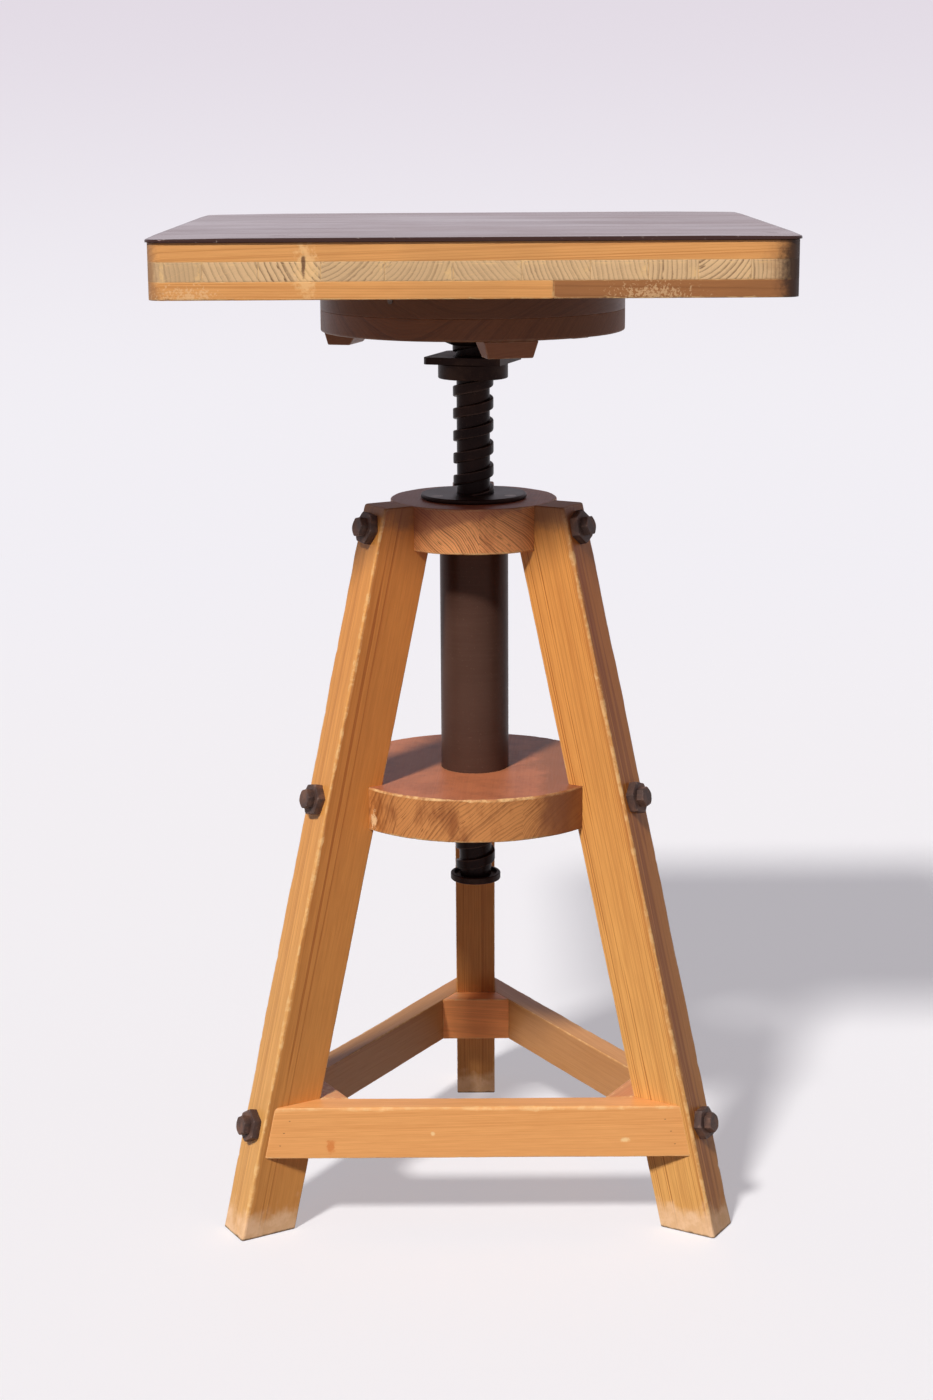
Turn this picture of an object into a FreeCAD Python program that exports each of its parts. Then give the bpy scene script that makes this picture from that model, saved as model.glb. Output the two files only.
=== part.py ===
import FreeCAD, Part
import math
import os

# Adjustable swivel stool: a square block-board top on a square-thread screw,
# carried by a round wooden stand with three raked legs.
# Millimetres, +Z up. The origin is on the floor, on the axis of the screw.
# Azimuths are in degrees from +X towards +Y. The front of the stool faces -Y.

# Stand
leg_azimuths = {"rear": 90.0, "left": 210.0, "right": 330.0}
leg_width = 31.7              # across the leg, tangentially
leg_depth = 43.8              # radially, measured level
leg_foot_reach = 211.4        # outer edge of a foot from the axis
leg_rake = 0.239              # how far a leg leans in for each millimetre up
leg_edge_chamfer = 2.0
stand_height = 537.6          # floor to the upper face of the hub
glue_gap = 0.1                # joint clearance between wooden pieces with curved seats

hub_radius = 61.4
hub_thickness = 33.0
hub_edge_chamfer = 1.2
lower_disc_radius = 100.9
lower_disc_thickness = 32.0
lower_disc_top = 333.3
lower_disc_chamfer = 1.5

tube_radius = 25.4
tube_wall = 3.2
tube_recess_depth = 10.0      # wood left over the tube's upper end in the hub

# Rails and corner blocks between the feet
rail_top = 99.5
rail_height = 37.8
rail_thickness = 18.1
rail_setback = 2.8            # behind the leg's outer corner
rail_azimuths = {"front": 270.0, "right": 30.0, "left": 150.0}
rail_edge_chamfer = 1.5
corner_block_thickness = 18.0

# Screws and bolts of the stand
bolt_radius = 4.0
bolt_tip_margin = 6.1         # wood left between the upper bolts' ends and the tube
bolt_head_flats = 13.0
bolt_head_height = 5.5
hex_washer_flats = 21.5
hex_washer_height = 6.0
upper_bolt_drop = 16.1        # below the top of the hub, on the leg's outer face
middle_bolt_drop = 8.3        # below the top of the lower disc
lower_bolt_drop = 17.0        # below the top of the rails
bolt_turn_step = 17.0         # each bolt stopped at its own angle when it was driven in
nail_radius = 1.1
nail_head_radius = 2.0
nail_head_height = 0.8
nail_proud_end = 3.0          # head left long, then filed flush with the sloping face
nail_length = 17.0
nail_offsets = [10.0, 19.0, 28.5]     # below the top of the rail
nail_insets = [12.5, 10.0, 9.0]       # from the end of the rail, along its face

# Screw thread shared by the spindle, the nut and the lock nut
thread_pitch = 16.4
thread_core_radius = 12.2
thread_crest_radius = 14.9
thread_crest_width = 7.8
thread_clearance = 0.4
thread_phase = 149.0          # azimuth of the crest's middle where the thread begins

# Nut let into the hub
nut_flange_margin = 7.9       # from the circle of its screws to its edge
nut_flange_thickness = 3.4
nut_flange_round = 1.2
nut_body_radius = 20.0
nut_body_length = 42.0
nut_screw_margin = 5.6        # from the tube's outside to the circle of the screws
wood_screw_radius = 2.2
wood_screw_head_radius = 4.4
wood_screw_head_height = 2.6
wood_screw_length = 22.0

# Lock nut: a square plate with a sleeve, and a round thrust collar captive on the sleeve
lock_plate_top = 642.3
lock_plate_side = 57.6
lock_plate_thickness = 5.2
lock_plate_chamfer = 2.5
lock_plate_turn = -18.0
lock_collar_radius = 25.6
lock_collar_height = 11.2
lock_collar_round = 1.0
lock_sleeve_radius = 18.6
lock_lip_radius = 21.0
lock_lip_height = 1.6
running_clearance = 0.06
face_clearance = 0.3

# Top assembly
disc_radius = 110.5
disc_bottom = 660.8
disc_lower_thickness = 15.6
disc_upper_thickness = 20.6
disc_edge_chamfer = 0.8
board_width = 420.0           # left to right
board_depth = 420.0           # front to back
board_corner_radius = 11.0
bottom_layer_thickness = 11.7
core_thickness = 12.7
top_layer_thickness = 12.1
plank_rows = 4
bottom_front_joint = 51.0     # where the front plank of the bottom layer is pieced, left to right
core_strip_widths = [36, 36, 40, 41, 44, 44, 44, 37, 32, 34, 32]
sheet_thickness = 2.9
sheet_overhang = 1.5

flange_radius = 37.8
flange_rim_thickness = 2.2
flange_height = 11.0
flange_neck_radius = 15.8
flange_screw_circle = 30.0
flange_screw_count = 4
journal_radius = 11.8
journal_length = 16.0         # plain upper end of the spindle, let into the disc
seat_screw_circle = 62.0
seat_screw_count = 6
seat_screw_length = 46.0
edge_nail_azimuth = 239.0
edge_nail_height = 688.0

wedge_azimuths = [284.0, 44.0, 164.0]
wedge_inner = 80.7
wedge_outer = 108.4
wedge_width = 38.9
wedge_height = 12.0
wedge_inner_bevel = 8.7
wedge_outer_bevel = 2.4
wedge_side_bevel = 3.3

# Lower end of the spindle
stop_bottom = 244.0
stop_radius = 19.0
stop_thickness = 5.2
stop_round = 0.9
stop_recess_radius = 16.4
stop_recess_depth = 2.0
stop_gap = 4.5                # plain neck of the spindle between the collar and the thread
end_journal_radius = 8.0
end_screw_head_radius = 11.0
end_screw_head_height = 1.6
end_screw_radius = 3.0
end_screw_length = 22.0

up = FreeCAD.Vector(0, 0, 1)
origin = FreeCAD.Vector(0, 0, 0)
floor_margin = 5.0            # how far a cutting tool runs past the face it cuts
far = 400.0                   # beyond everything the cutting tools have to reach

hub_bottom = stand_height - hub_thickness
lower_disc_bottom = lower_disc_top - lower_disc_thickness
rail_bottom = rail_top - rail_height
tube_top = stand_height - tube_recess_depth
nut_top = stand_height + nut_flange_thickness
nut_bottom = nut_top - nut_flange_thickness - nut_body_length
disc_joint = disc_bottom + disc_lower_thickness
board_bottom = disc_joint + disc_upper_thickness
core_bottom = board_bottom + bottom_layer_thickness
top_layer_bottom = core_bottom + core_thickness
board_top = top_layer_bottom + top_layer_thickness
stop_top = stop_bottom + stop_thickness
stop_floor = stop_top - stop_recess_depth
thread_start = stop_top + stop_gap
flange_bottom = disc_bottom - flange_height
face_lean = math.degrees(math.atan(leg_rake))
bolt_heights = {"upper": stand_height - upper_bolt_drop,
                "middle": lower_disc_top - middle_bolt_drop,
                "lower": rail_top - lower_bolt_drop}
hub_leg_reach = leg_foot_reach - leg_rake * bolt_heights["upper"]
bolt_length = (hub_leg_reach - tube_radius - bolt_tip_margin) / math.cos(math.radians(face_lean))
nut_screw_circle = tube_radius + nut_screw_margin
nut_flange_radius = nut_screw_circle + nut_flange_margin


def vec(x, y, z):
    return FreeCAD.Vector(x, y, z)


def turned(shape, azimuth):
    """A copy of the shape turned about the screw's axis."""
    copy = shape.copy()
    copy.rotate(origin, up, azimuth)
    return copy


def cylinder(radius, bottom, top):
    return Part.makeCylinder(radius, top - bottom, vec(0, 0, bottom))


def ring(outer, inner, bottom, top):
    bore = cylinder(inner, bottom - floor_margin, top + floor_margin)
    return cylinder(outer, bottom, top).cut(bore)


def prism(points, direction):
    """A solid made by moving a closed outline along a direction."""
    outline = Part.makePolygon(points + [points[0]])
    return Part.Face(outline).extrude(direction)


def radial_prism(section, width):
    """A solid of constant width about the XZ plane from an outline of (radius, height) points."""
    points = [vec(radius, -width / 2, height) for radius, height in section]
    return prism(points, vec(0, width, 0))


def revolved(section):
    """A solid turned about the Z axis from an outline of (radius, height) points."""
    points = [vec(radius, 0, height) for radius, height in section]
    outline = Part.makePolygon(points + [points[0]])
    return Part.Face(outline).revolve(origin, up, 360)


def edges_at(shape, test):
    """The edges whose two ends both pass the test."""
    return [edge for edge in shape.Edges
            if all(test(vertex.Point) for vertex in edge.Vertexes)]


def chamfered_rims(shape, radius, size):
    """Breaks the circular rims of the given radius."""
    rims = [edge for edge in shape.Edges
            if hasattr(edge.Curve, "Radius") and abs(edge.Curve.Radius - radius) < 0.01
            and edge.Length > 2 * math.pi * radius - 0.1]
    return shape.makeChamfer(size, rims)


def rounded_rims(shape, radius, size):
    rims = [edge for edge in shape.Edges
            if hasattr(edge.Curve, "Radius") and abs(edge.Curve.Radius - radius) < 0.01
            and edge.Length > 2 * math.pi * radius - 0.1]
    return shape.makeFillet(size, rims)


def hexagon(flats, bottom, top):
    """An upright hexagonal bar."""
    corner = flats / 2 / math.cos(math.radians(30))
    angles = [math.radians(60 * side) for side in range(6)]
    points = [vec(corner * math.cos(a), corner * math.sin(a), bottom) for a in angles]
    return prism(points, vec(0, 0, top - bottom))


def placed_along(shape, point, direction):
    """Moves a shape made along +Z so that it starts at a point and runs in a direction."""
    copy = shape.copy()
    copy.Placement = FreeCAD.Placement(point, FreeCAD.Rotation(up, direction))
    return copy


def save(name, shapes):
    """Writes one node: a single solid, or a group of separate ones."""
    group = shapes if isinstance(shapes, list) else [shapes]
    solids = [solid for shape in group for solid in shape.Solids]
    whole = solids[0] if len(solids) == 1 else Part.makeCompound(solids)
    whole.exportStep("parts/" + name + ".step")
    print(name, len(solids), round(whole.Volume / 1000, 2), whole.isValid())


# ---------------------------------------------------------------- thread

def thread_section(growth, height):
    """The level section of the threaded bar: a round core with one wide, raised arc."""
    azimuth = math.radians(thread_phase + 360 * (height - thread_start) / thread_pitch)
    half = math.radians(180 * (thread_crest_width + 2 * growth) / thread_pitch)
    core = thread_core_radius + growth
    crest = thread_crest_radius + growth

    def point(radius, angle):
        return vec(radius * math.cos(azimuth + angle), radius * math.sin(azimuth + angle), height)

    raised = Part.Arc(point(crest, -half), point(crest, 0), point(crest, half))
    step_down = Part.LineSegment(point(crest, half), point(core, half))
    lower = Part.Arc(point(core, half), point(core, math.pi), point(core, -half))
    step_up = Part.LineSegment(point(core, -half), point(crest, -half))
    return Part.Wire([raised.toShape(), step_down.toShape(), lower.toShape(), step_up.toShape()])


def threaded_bar(growth, bottom, top):
    """The right-hand square-threaded bar between two heights.

    Growth enlarges it on all sides, which gives the hollow of a nut that runs on it.
    """
    axis = Part.Wire([Part.LineSegment(vec(0, 0, bottom), vec(0, 0, top)).toShape()])
    helix = Part.makeHelix(thread_pitch, top - bottom, thread_crest_radius)
    helix.translate(vec(0, 0, bottom))
    twist = Part.BRepOffsetAPI.MakePipeShell(axis)
    twist.setAuxiliarySpine(Part.Wire(helix.Edges), True, 0)
    twist.add(thread_section(growth, bottom))
    twist.build()
    twist.makeSolid()
    return twist.shape()


def threaded_hole(bottom, top):
    """What is cut from a nut so that the spindle runs in it with clearance."""
    return threaded_bar(thread_clearance, bottom - floor_margin, top + floor_margin)


# ---------------------------------------------------------------- legs

def leg_outer(height):
    return leg_foot_reach - leg_rake * height


def leg_inner(height):
    return leg_outer(height) - leg_depth


def leg_blank():
    """One leg along +X, before the seats for the two discs are cut."""
    section = [(leg_outer(0), 0), (leg_inner(0), 0),
               (leg_inner(stand_height), stand_height), (leg_outer(stand_height), stand_height)]
    leg = radial_prism(section, leg_width)
    outer_edges = edges_at(leg, lambda p: abs(p.x - leg_outer(p.z)) < 0.01)
    long_edges = [edge for edge in outer_edges if edge.Length > stand_height]
    return leg.makeChamfer(leg_edge_chamfer, long_edges)


def bolt_frame(height):
    """Start point on the leg's outer face and the inward direction, square to that face."""
    point = vec(leg_outer(height), 0, height)
    direction = vec(-math.cos(math.radians(face_lean)), 0, -math.sin(math.radians(face_lean)))
    return point, direction


def bolt_hole(height):
    point, direction = bolt_frame(height)
    drill = Part.makeCylinder(bolt_radius + glue_gap, bolt_length + 2 * floor_margin,
                              vec(0, 0, -floor_margin))
    return placed_along(drill, point, direction)


def coach_bolt(height, turn):
    """A hexagon-head wood bolt, its head standing on the hexagonal washer."""
    point, direction = bolt_frame(height)
    shank = cylinder(bolt_radius, -hex_washer_height, bolt_length)
    head = hexagon(bolt_head_flats, -hex_washer_height - bolt_head_height, -hex_washer_height)
    head = turned(head, turn)
    return placed_along(shank.fuse(head).removeSplitter(), point, direction)


def hex_washer(height, turn):
    point, direction = bolt_frame(height)
    body = turned(hexagon(hex_washer_flats, -hex_washer_height, 0), turn)
    hole = cylinder(bolt_radius + glue_gap, -hex_washer_height - 1, 1)
    return placed_along(body.cut(hole), point, direction)


def build_legs():
    leg = leg_blank()
    leg = leg.cut(cylinder(hub_radius + glue_gap, hub_bottom, stand_height + floor_margin))
    leg = leg.cut(cylinder(lower_disc_radius + glue_gap, lower_disc_bottom, lower_disc_top))
    for height in bolt_heights.values():
        leg = leg.cut(bolt_hole(height))
    for name, azimuth in leg_azimuths.items():
        placed = turned(leg, azimuth)
        for nail in all_rail_nails():
            placed = placed.cut(nail)
        save("leg_" + name, placed)


def build_bolts():
    for row, (level, height) in enumerate(bolt_heights.items()):
        bolts = []
        washers = []
        for place, azimuth in enumerate(leg_azimuths.values()):
            turn = bolt_turn_step * (row * len(leg_azimuths) + place)
            bolts.append(turned(coach_bolt(height, turn), azimuth))
            washers.append(turned(hex_washer(height, 2 * turn), azimuth))
        save("bolts_" + level, bolts)
        save("hex_washers_" + level, washers)


# ---------------------------------------------------------------- hub and lower disc

def leg_bolt_holes(height):
    return [turned(bolt_hole(height), azimuth) for azimuth in leg_azimuths.values()]


def countersunk_screw(length, radius=wood_screw_radius):
    """A wood screw along +Z whose flat head ends at height 0 and whose point is below it."""
    head = wood_screw_head_height
    return revolved([(0, 0), (wood_screw_head_radius, 0), (radius, -head),
                     (radius, -length + head), (0, -length)])


def countersunk_hole(length, radius=wood_screw_radius):
    head = wood_screw_head_height
    gap = glue_gap
    return revolved([(0, 1), (wood_screw_head_radius + gap, 1), (wood_screw_head_radius + gap, 0),
                     (radius + gap, -head), (radius + gap, -length - gap), (0, -length - gap)])


def around(shape, circle, azimuths):
    """Copies of a shape placed on a circle about the axis."""
    copies = []
    for azimuth in azimuths:
        copy = shape.copy()
        copy.translate(vec(circle, 0, 0))
        copies.append(turned(copy, azimuth))
    return copies


def nut_screw_set(shape):
    """A shape placed at each of the three screws of the nut's flange."""
    placed = around(shape, nut_screw_circle, leg_azimuths.values())
    for copy in placed:
        copy.translate(vec(0, 0, nut_top))
    return placed


def build_hub():
    hub = chamfered_rims(cylinder(hub_radius, hub_bottom, stand_height), hub_radius, hub_edge_chamfer)
    hub = hub.cut(cylinder(tube_radius + glue_gap, hub_bottom - 1, tube_top))
    hub = hub.cut(cylinder(nut_body_radius + glue_gap, tube_top - 1, stand_height + 1))
    for hole in leg_bolt_holes(bolt_heights["upper"]) + nut_screw_set(countersunk_hole(wood_screw_length)):
        hub = hub.cut(hole)
    save("hub_disc", hub)


def build_lower_disc():
    disc = cylinder(lower_disc_radius, lower_disc_bottom, lower_disc_top)
    disc = chamfered_rims(disc, lower_disc_radius, lower_disc_chamfer)
    disc = disc.cut(cylinder(tube_radius + glue_gap, lower_disc_bottom - 1, lower_disc_top + 1))
    for hole in leg_bolt_holes(bolt_heights["middle"]):
        disc = disc.cut(hole)
    save("lower_disc", disc)


def build_tube():
    save("guide_tube", ring(tube_radius, tube_radius - tube_wall, lower_disc_bottom, tube_top))


def build_nut():
    flange = cylinder(nut_flange_radius, stand_height, nut_top)
    flange = rounded_rims(flange, nut_flange_radius, nut_flange_round)
    nut = flange.fuse(cylinder(nut_body_radius, nut_bottom, stand_height)).removeSplitter()
    for tool in [threaded_hole(nut_bottom, nut_top)] + nut_screw_set(countersunk_hole(wood_screw_length)):
        nut = nut.cut(tool)
    save("flanged_nut", nut)
    save("nut_screws", nut_screw_set(countersunk_screw(wood_screw_length)))


# ---------------------------------------------------------------- rails and corner blocks

def rail_face(height):
    """Distance of a rail's outer face from the axis, along the rail's own normal."""
    corner = leg_outer(height) * math.cos(math.radians(60))
    return corner + leg_width / 2 * math.sin(math.radians(60)) - rail_setback


def rail_blank():
    """A rail facing +X, over-long at both ends."""
    section = [(rail_face(rail_bottom), rail_bottom), (rail_face(rail_top), rail_top),
               (rail_face(rail_top) - rail_thickness, rail_top),
               (rail_face(rail_bottom) - rail_thickness, rail_bottom)]
    rail = radial_prism(section, 2 * far)
    top_edge = edges_at(rail, lambda p: abs(p.z - rail_top) < 0.01
                        and abs(p.x - rail_face(rail_top)) < 0.01)
    return rail.makeChamfer(rail_edge_chamfer, top_edge)


def between_legs():
    """The space between the facing sides of two legs, seen from above, about +X."""
    apex = leg_width / 2 / math.sin(math.radians(60))
    reach_x = far * math.cos(math.radians(60))
    reach_y = far * math.sin(math.radians(60))
    corners = [vec(apex, 0, 0), vec(apex + reach_x, -reach_y, 0), vec(apex + reach_x, reach_y, 0)]
    return prism(corners, vec(0, 0, rail_top + floor_margin))


def nail_points():
    """Nail places on a rail facing +X, as (height, distance from the middle of the rail)."""
    places = []
    for offset, inset in zip(nail_offsets, nail_insets):
        height = rail_top - offset
        apex = leg_width / 2 / math.sin(math.radians(60))
        half_length = (rail_face(height) - apex) * math.tan(math.radians(60))
        places.append((height, half_length - inset))
    return places


def rail_nails():
    """The six nails of the rail facing +X, driven level and slanting into the legs."""
    slant = math.radians(60)
    nails = []
    for height, reach in nail_points():
        for side in (-1, 1):
            inward = vec(-math.cos(slant), side * math.sin(slant), 0)
            point = vec(rail_face(height), side * reach, height)
            shank = cylinder(nail_radius, 0, nail_length)
            head = cylinder(nail_head_radius, -nail_proud_end, nail_head_height)
            nails.append(placed_along(shank.fuse(head).removeSplitter(), point, inward))
    return nails


def all_rail_nails():
    return [turned(nail, azimuth) for azimuth in rail_azimuths.values() for nail in rail_nails()]


def build_rails():
    rail = rail_blank().common(between_legs())
    for nail in rail_nails():
        rail = rail.cut(nail)
    outside = radial_prism([(rail_face(0), 0), (far, 0), (far, stand_height),
                            (rail_face(stand_height), stand_height)], 2 * far)
    nails = []
    for name, azimuth in rail_azimuths.items():
        save("rail_" + name, turned(rail, azimuth))
        nails += [turned(nail.cut(outside), azimuth) for nail in rail_nails()]
    save("rail_nails", nails)


def build_corner_blocks():
    section = [(leg_inner(rail_bottom), rail_bottom), (leg_inner(rail_top), rail_top),
               (leg_inner(rail_top) - corner_block_thickness, rail_top),
               (leg_inner(rail_bottom) - corner_block_thickness, rail_bottom)]
    block = radial_prism(section, 4 * corner_block_thickness)
    keep_out = radial_prism([(rail_face(rail_bottom) - rail_thickness, rail_bottom),
                             (rail_face(rail_top) - rail_thickness, rail_top),
                             (far, rail_top), (far, rail_bottom)], 2 * far)
    for side in (-60, 60):
        block = block.cut(turned(keep_out, side))
    block = block.cut(bolt_hole(bolt_heights["lower"]))
    for name, azimuth in leg_azimuths.items():
        save("corner_block_" + name, turned(block, azimuth))


# ---------------------------------------------------------------- spindle and its fittings

def build_spindle():
    thread_top = flange_bottom - glue_gap
    neck_bottom = stop_floor + face_clearance
    spindle = threaded_bar(0, thread_start, thread_top)
    spindle = spindle.fuse(cylinder(journal_radius, thread_top, disc_bottom + journal_length))
    spindle = spindle.fuse(cylinder(journal_radius, neck_bottom, thread_start))
    end_journal_bottom = stop_bottom + end_screw_head_height + face_clearance
    spindle = spindle.fuse(cylinder(end_journal_radius, end_journal_bottom, neck_bottom))
    screw_hole = cylinder(end_screw_radius, stop_bottom,
                          stop_bottom + end_screw_head_height + end_screw_length)
    save("spindle", spindle.cut(screw_hole))


def build_stop_collar():
    head_top = stop_bottom + end_screw_head_height
    collar = rounded_rims(cylinder(stop_radius, stop_bottom, stop_top), stop_radius, stop_round)
    collar = collar.cut(cylinder(stop_recess_radius, stop_floor, stop_top + 1))
    collar = collar.cut(cylinder(end_journal_radius + running_clearance, stop_bottom - 1, stop_top))
    pocket = cylinder(end_screw_head_radius + face_clearance, stop_bottom - 1, head_top + face_clearance)
    save("stop_collar", collar.cut(pocket))
    head = cylinder(end_screw_head_radius, stop_bottom, head_top)
    seat = cylinder(end_journal_radius - 1, head_top, head_top + face_clearance)
    shank = cylinder(end_screw_radius, stop_bottom, head_top + end_screw_length)
    save("end_screw", head.fuse(seat).fuse(shank).removeSplitter())


def build_lock_nut():
    plate_bottom = lock_plate_top - lock_plate_thickness
    half = lock_plate_side / 2
    corners = [vec(-half, -half, plate_bottom), vec(half, -half, plate_bottom),
               vec(half, half, plate_bottom), vec(-half, half, plate_bottom)]
    plate = prism(corners, vec(0, 0, lock_plate_thickness))
    upright = [edge for edge in plate.Edges if abs(edge.Length - lock_plate_thickness) < 0.01]
    plate = turned(plate.makeChamfer(lock_plate_chamfer, upright), lock_plate_turn)
    collar_top = plate_bottom - face_clearance
    collar_bottom = collar_top - lock_collar_height
    sleeve = revolved([(0, plate_bottom), (lock_sleeve_radius, plate_bottom),
                       (lock_sleeve_radius, collar_bottom + lock_lip_height),
                       (lock_lip_radius, collar_bottom + lock_lip_height),
                       (lock_lip_radius, collar_bottom + face_clearance),
                       (0, collar_bottom + face_clearance)])
    save("lock_nut", plate.fuse(sleeve).cut(threaded_hole(collar_bottom, lock_plate_top)))

    collar = rounded_rims(cylinder(lock_collar_radius, collar_bottom, collar_top),
                          lock_collar_radius, lock_collar_round)
    collar = collar.cut(cylinder(lock_sleeve_radius + running_clearance, collar_bottom - 1, collar_top + 1))
    pocket = cylinder(lock_lip_radius + face_clearance, collar_bottom - 1,
                      collar_bottom + lock_lip_height + face_clearance)
    save("lock_collar", collar.cut(pocket))


def up_screw(length):
    """A round-headed wood screw pointing up, its head just below height 0."""
    shank = revolved([(0, 0), (wood_screw_radius, 0), (wood_screw_radius, length - wood_screw_head_height),
                      (0, length)])
    head = cylinder(wood_screw_head_radius, -wood_screw_head_height, 0)
    return shank.fuse(head).removeSplitter()


def flange_screw_set(shape):
    azimuths = [45 + 360 / flange_screw_count * place for place in range(flange_screw_count)]
    placed = around(shape, flange_screw_circle, azimuths)
    for copy in placed:
        copy.translate(vec(0, 0, disc_bottom - flange_rim_thickness))
    return placed


def seat_screw_set(shape):
    azimuths = [14 + 360 / seat_screw_count * place for place in range(seat_screw_count)]
    placed = around(shape, seat_screw_circle, azimuths)
    for copy in placed:
        copy.translate(vec(0, 0, disc_bottom))
    return placed


def build_spindle_flange():
    flange = revolved([(0, disc_bottom), (flange_radius, disc_bottom),
                       (flange_radius, disc_bottom - flange_rim_thickness),
                       (flange_neck_radius, flange_bottom), (0, flange_bottom)])
    flange = flange.cut(cylinder(journal_radius + glue_gap, flange_bottom - 1, disc_bottom + 1))
    pocket = cylinder(wood_screw_head_radius + glue_gap, -flange_height, 0)
    hole = cylinder(wood_screw_radius + glue_gap, -flange_height, flange_rim_thickness + 1)
    for tool in flange_screw_set(pocket.fuse(hole)):
        flange = flange.cut(tool)
    save("spindle_flange", flange)
    save("flange_screws", flange_screw_set(up_screw(wood_screw_length)))


# ---------------------------------------------------------------- round disc and board

def seat_screw(length):
    """A countersunk wood screw pointing up from height 0."""
    screw = countersunk_screw(length)
    screw.rotate(origin, vec(1, 0, 0), 180)
    return screw


def seat_screw_hole(length):
    hole = countersunk_hole(length)
    hole.rotate(origin, vec(1, 0, 0), 180)
    return hole


def edge_nail():
    """The nail in the rim of the round disc, along +X with its head proud of the rim."""
    inward = vec(-1, 0, 0)
    point = vec(disc_radius, 0, edge_nail_height)
    shank = cylinder(nail_radius, 0, nail_length)
    head = cylinder(nail_head_radius, -nail_head_height, 0)
    return turned(placed_along(shank.fuse(head).removeSplitter(), point, inward), edge_nail_azimuth)


def build_disc():
    lower = chamfered_rims(cylinder(disc_radius, disc_bottom, disc_joint), disc_radius, disc_edge_chamfer)
    upper = chamfered_rims(cylinder(disc_radius, disc_joint, board_bottom), disc_radius, disc_edge_chamfer)
    socket = cylinder(journal_radius + glue_gap, disc_bottom - 1, disc_bottom + journal_length + 1)
    fixings = flange_screw_set(cylinder(wood_screw_radius + glue_gap, -1, wood_screw_length + 1))
    fixings += seat_screw_set(seat_screw_hole(seat_screw_length))
    for tool in [socket] + fixings:
        lower = lower.cut(tool)
        upper = upper.cut(tool)
    upper = upper.cut(edge_nail())
    save("disc_lower_layer", lower)
    save("disc_upper_layer", upper)
    save("disc_edge_nail", edge_nail())
    save("seat_screws", seat_screw_set(seat_screw(seat_screw_length)))


def build_wedges():
    def outline(inner, outer, half, height):
        points = [vec(inner, -half, height), vec(outer, -half, height),
                  vec(outer, half, height), vec(inner, half, height), vec(inner, -half, height)]
        return Part.makePolygon(points)

    half = wedge_width / 2
    at_disc = outline(wedge_inner, wedge_outer, half, disc_bottom)
    at_foot = outline(wedge_inner + wedge_inner_bevel, wedge_outer - wedge_outer_bevel,
                      half - wedge_side_bevel, disc_bottom - wedge_height)
    wedge = Part.makeLoft([at_disc, at_foot], True, True)
    for number, azimuth in enumerate(wedge_azimuths, 1):
        save("wedge_block_%d" % number, turned(wedge, azimuth))


def rounded_board(overhang, bottom, top):
    """A square slab with rounded upright corners."""
    half_x = board_width / 2 + overhang
    half_y = board_depth / 2 + overhang
    slab = Part.makeBox(2 * half_x, 2 * half_y, top - bottom, vec(-half_x, -half_y, bottom))
    upright = [edge for edge in slab.Edges if abs(edge.Length - (top - bottom)) < 0.01]
    return slab.makeFillet(board_corner_radius + overhang, upright)


def piece_of(layer, x_from, x_to, y_from, y_to):
    """The part of a layer inside a rectangle seen from above."""
    box = layer.BoundBox
    cutter = Part.makeBox(x_to - x_from, y_to - y_from, box.ZLength, vec(x_from, y_from, box.ZMin))
    return layer.common(cutter)


def build_board():
    screw_holes = seat_screw_set(seat_screw_hole(seat_screw_length))
    bottom_layer = rounded_board(0, board_bottom, core_bottom)
    for hole in screw_holes:
        bottom_layer = bottom_layer.cut(hole)
    core = rounded_board(0, core_bottom, top_layer_bottom)
    top_layer = rounded_board(0, top_layer_bottom, board_top)
    edge_x = board_width / 2
    edge_y = board_depth / 2
    row_depth = board_depth / plank_rows
    for row in range(plank_rows):
        front = -edge_y + row * row_depth
        back = front + row_depth
        save("top_plank_%d" % (row + 1), piece_of(top_layer, -edge_x, edge_x, front, back))
        if row == 0:
            save("bottom_plank_1_left", piece_of(bottom_layer, -edge_x, bottom_front_joint, front, back))
            save("bottom_plank_1_right", piece_of(bottom_layer, bottom_front_joint, edge_x, front, back))
        else:
            save("bottom_plank_%d" % (row + 1), piece_of(bottom_layer, -edge_x, edge_x, front, back))
    scale = board_width / sum(core_strip_widths)
    left = -edge_x
    for number, width in enumerate(core_strip_widths, 1):
        right = left + width * scale
        save("core_strip_%02d" % number, piece_of(core, left, right, -edge_y, edge_y))
        left = right
    save("top_sheet", rounded_board(sheet_overhang, board_top, board_top + sheet_thickness))


os.makedirs("parts", exist_ok=True)
build_legs()
build_bolts()
build_hub()
build_lower_disc()
build_tube()
build_nut()
build_rails()
build_corner_blocks()
build_spindle()
build_stop_collar()
build_lock_nut()
build_spindle_flange()
build_disc()
build_wedges()
build_board()
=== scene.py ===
import math

import bmesh
import bpy
from mathutils import Matrix, Vector, noise


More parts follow.
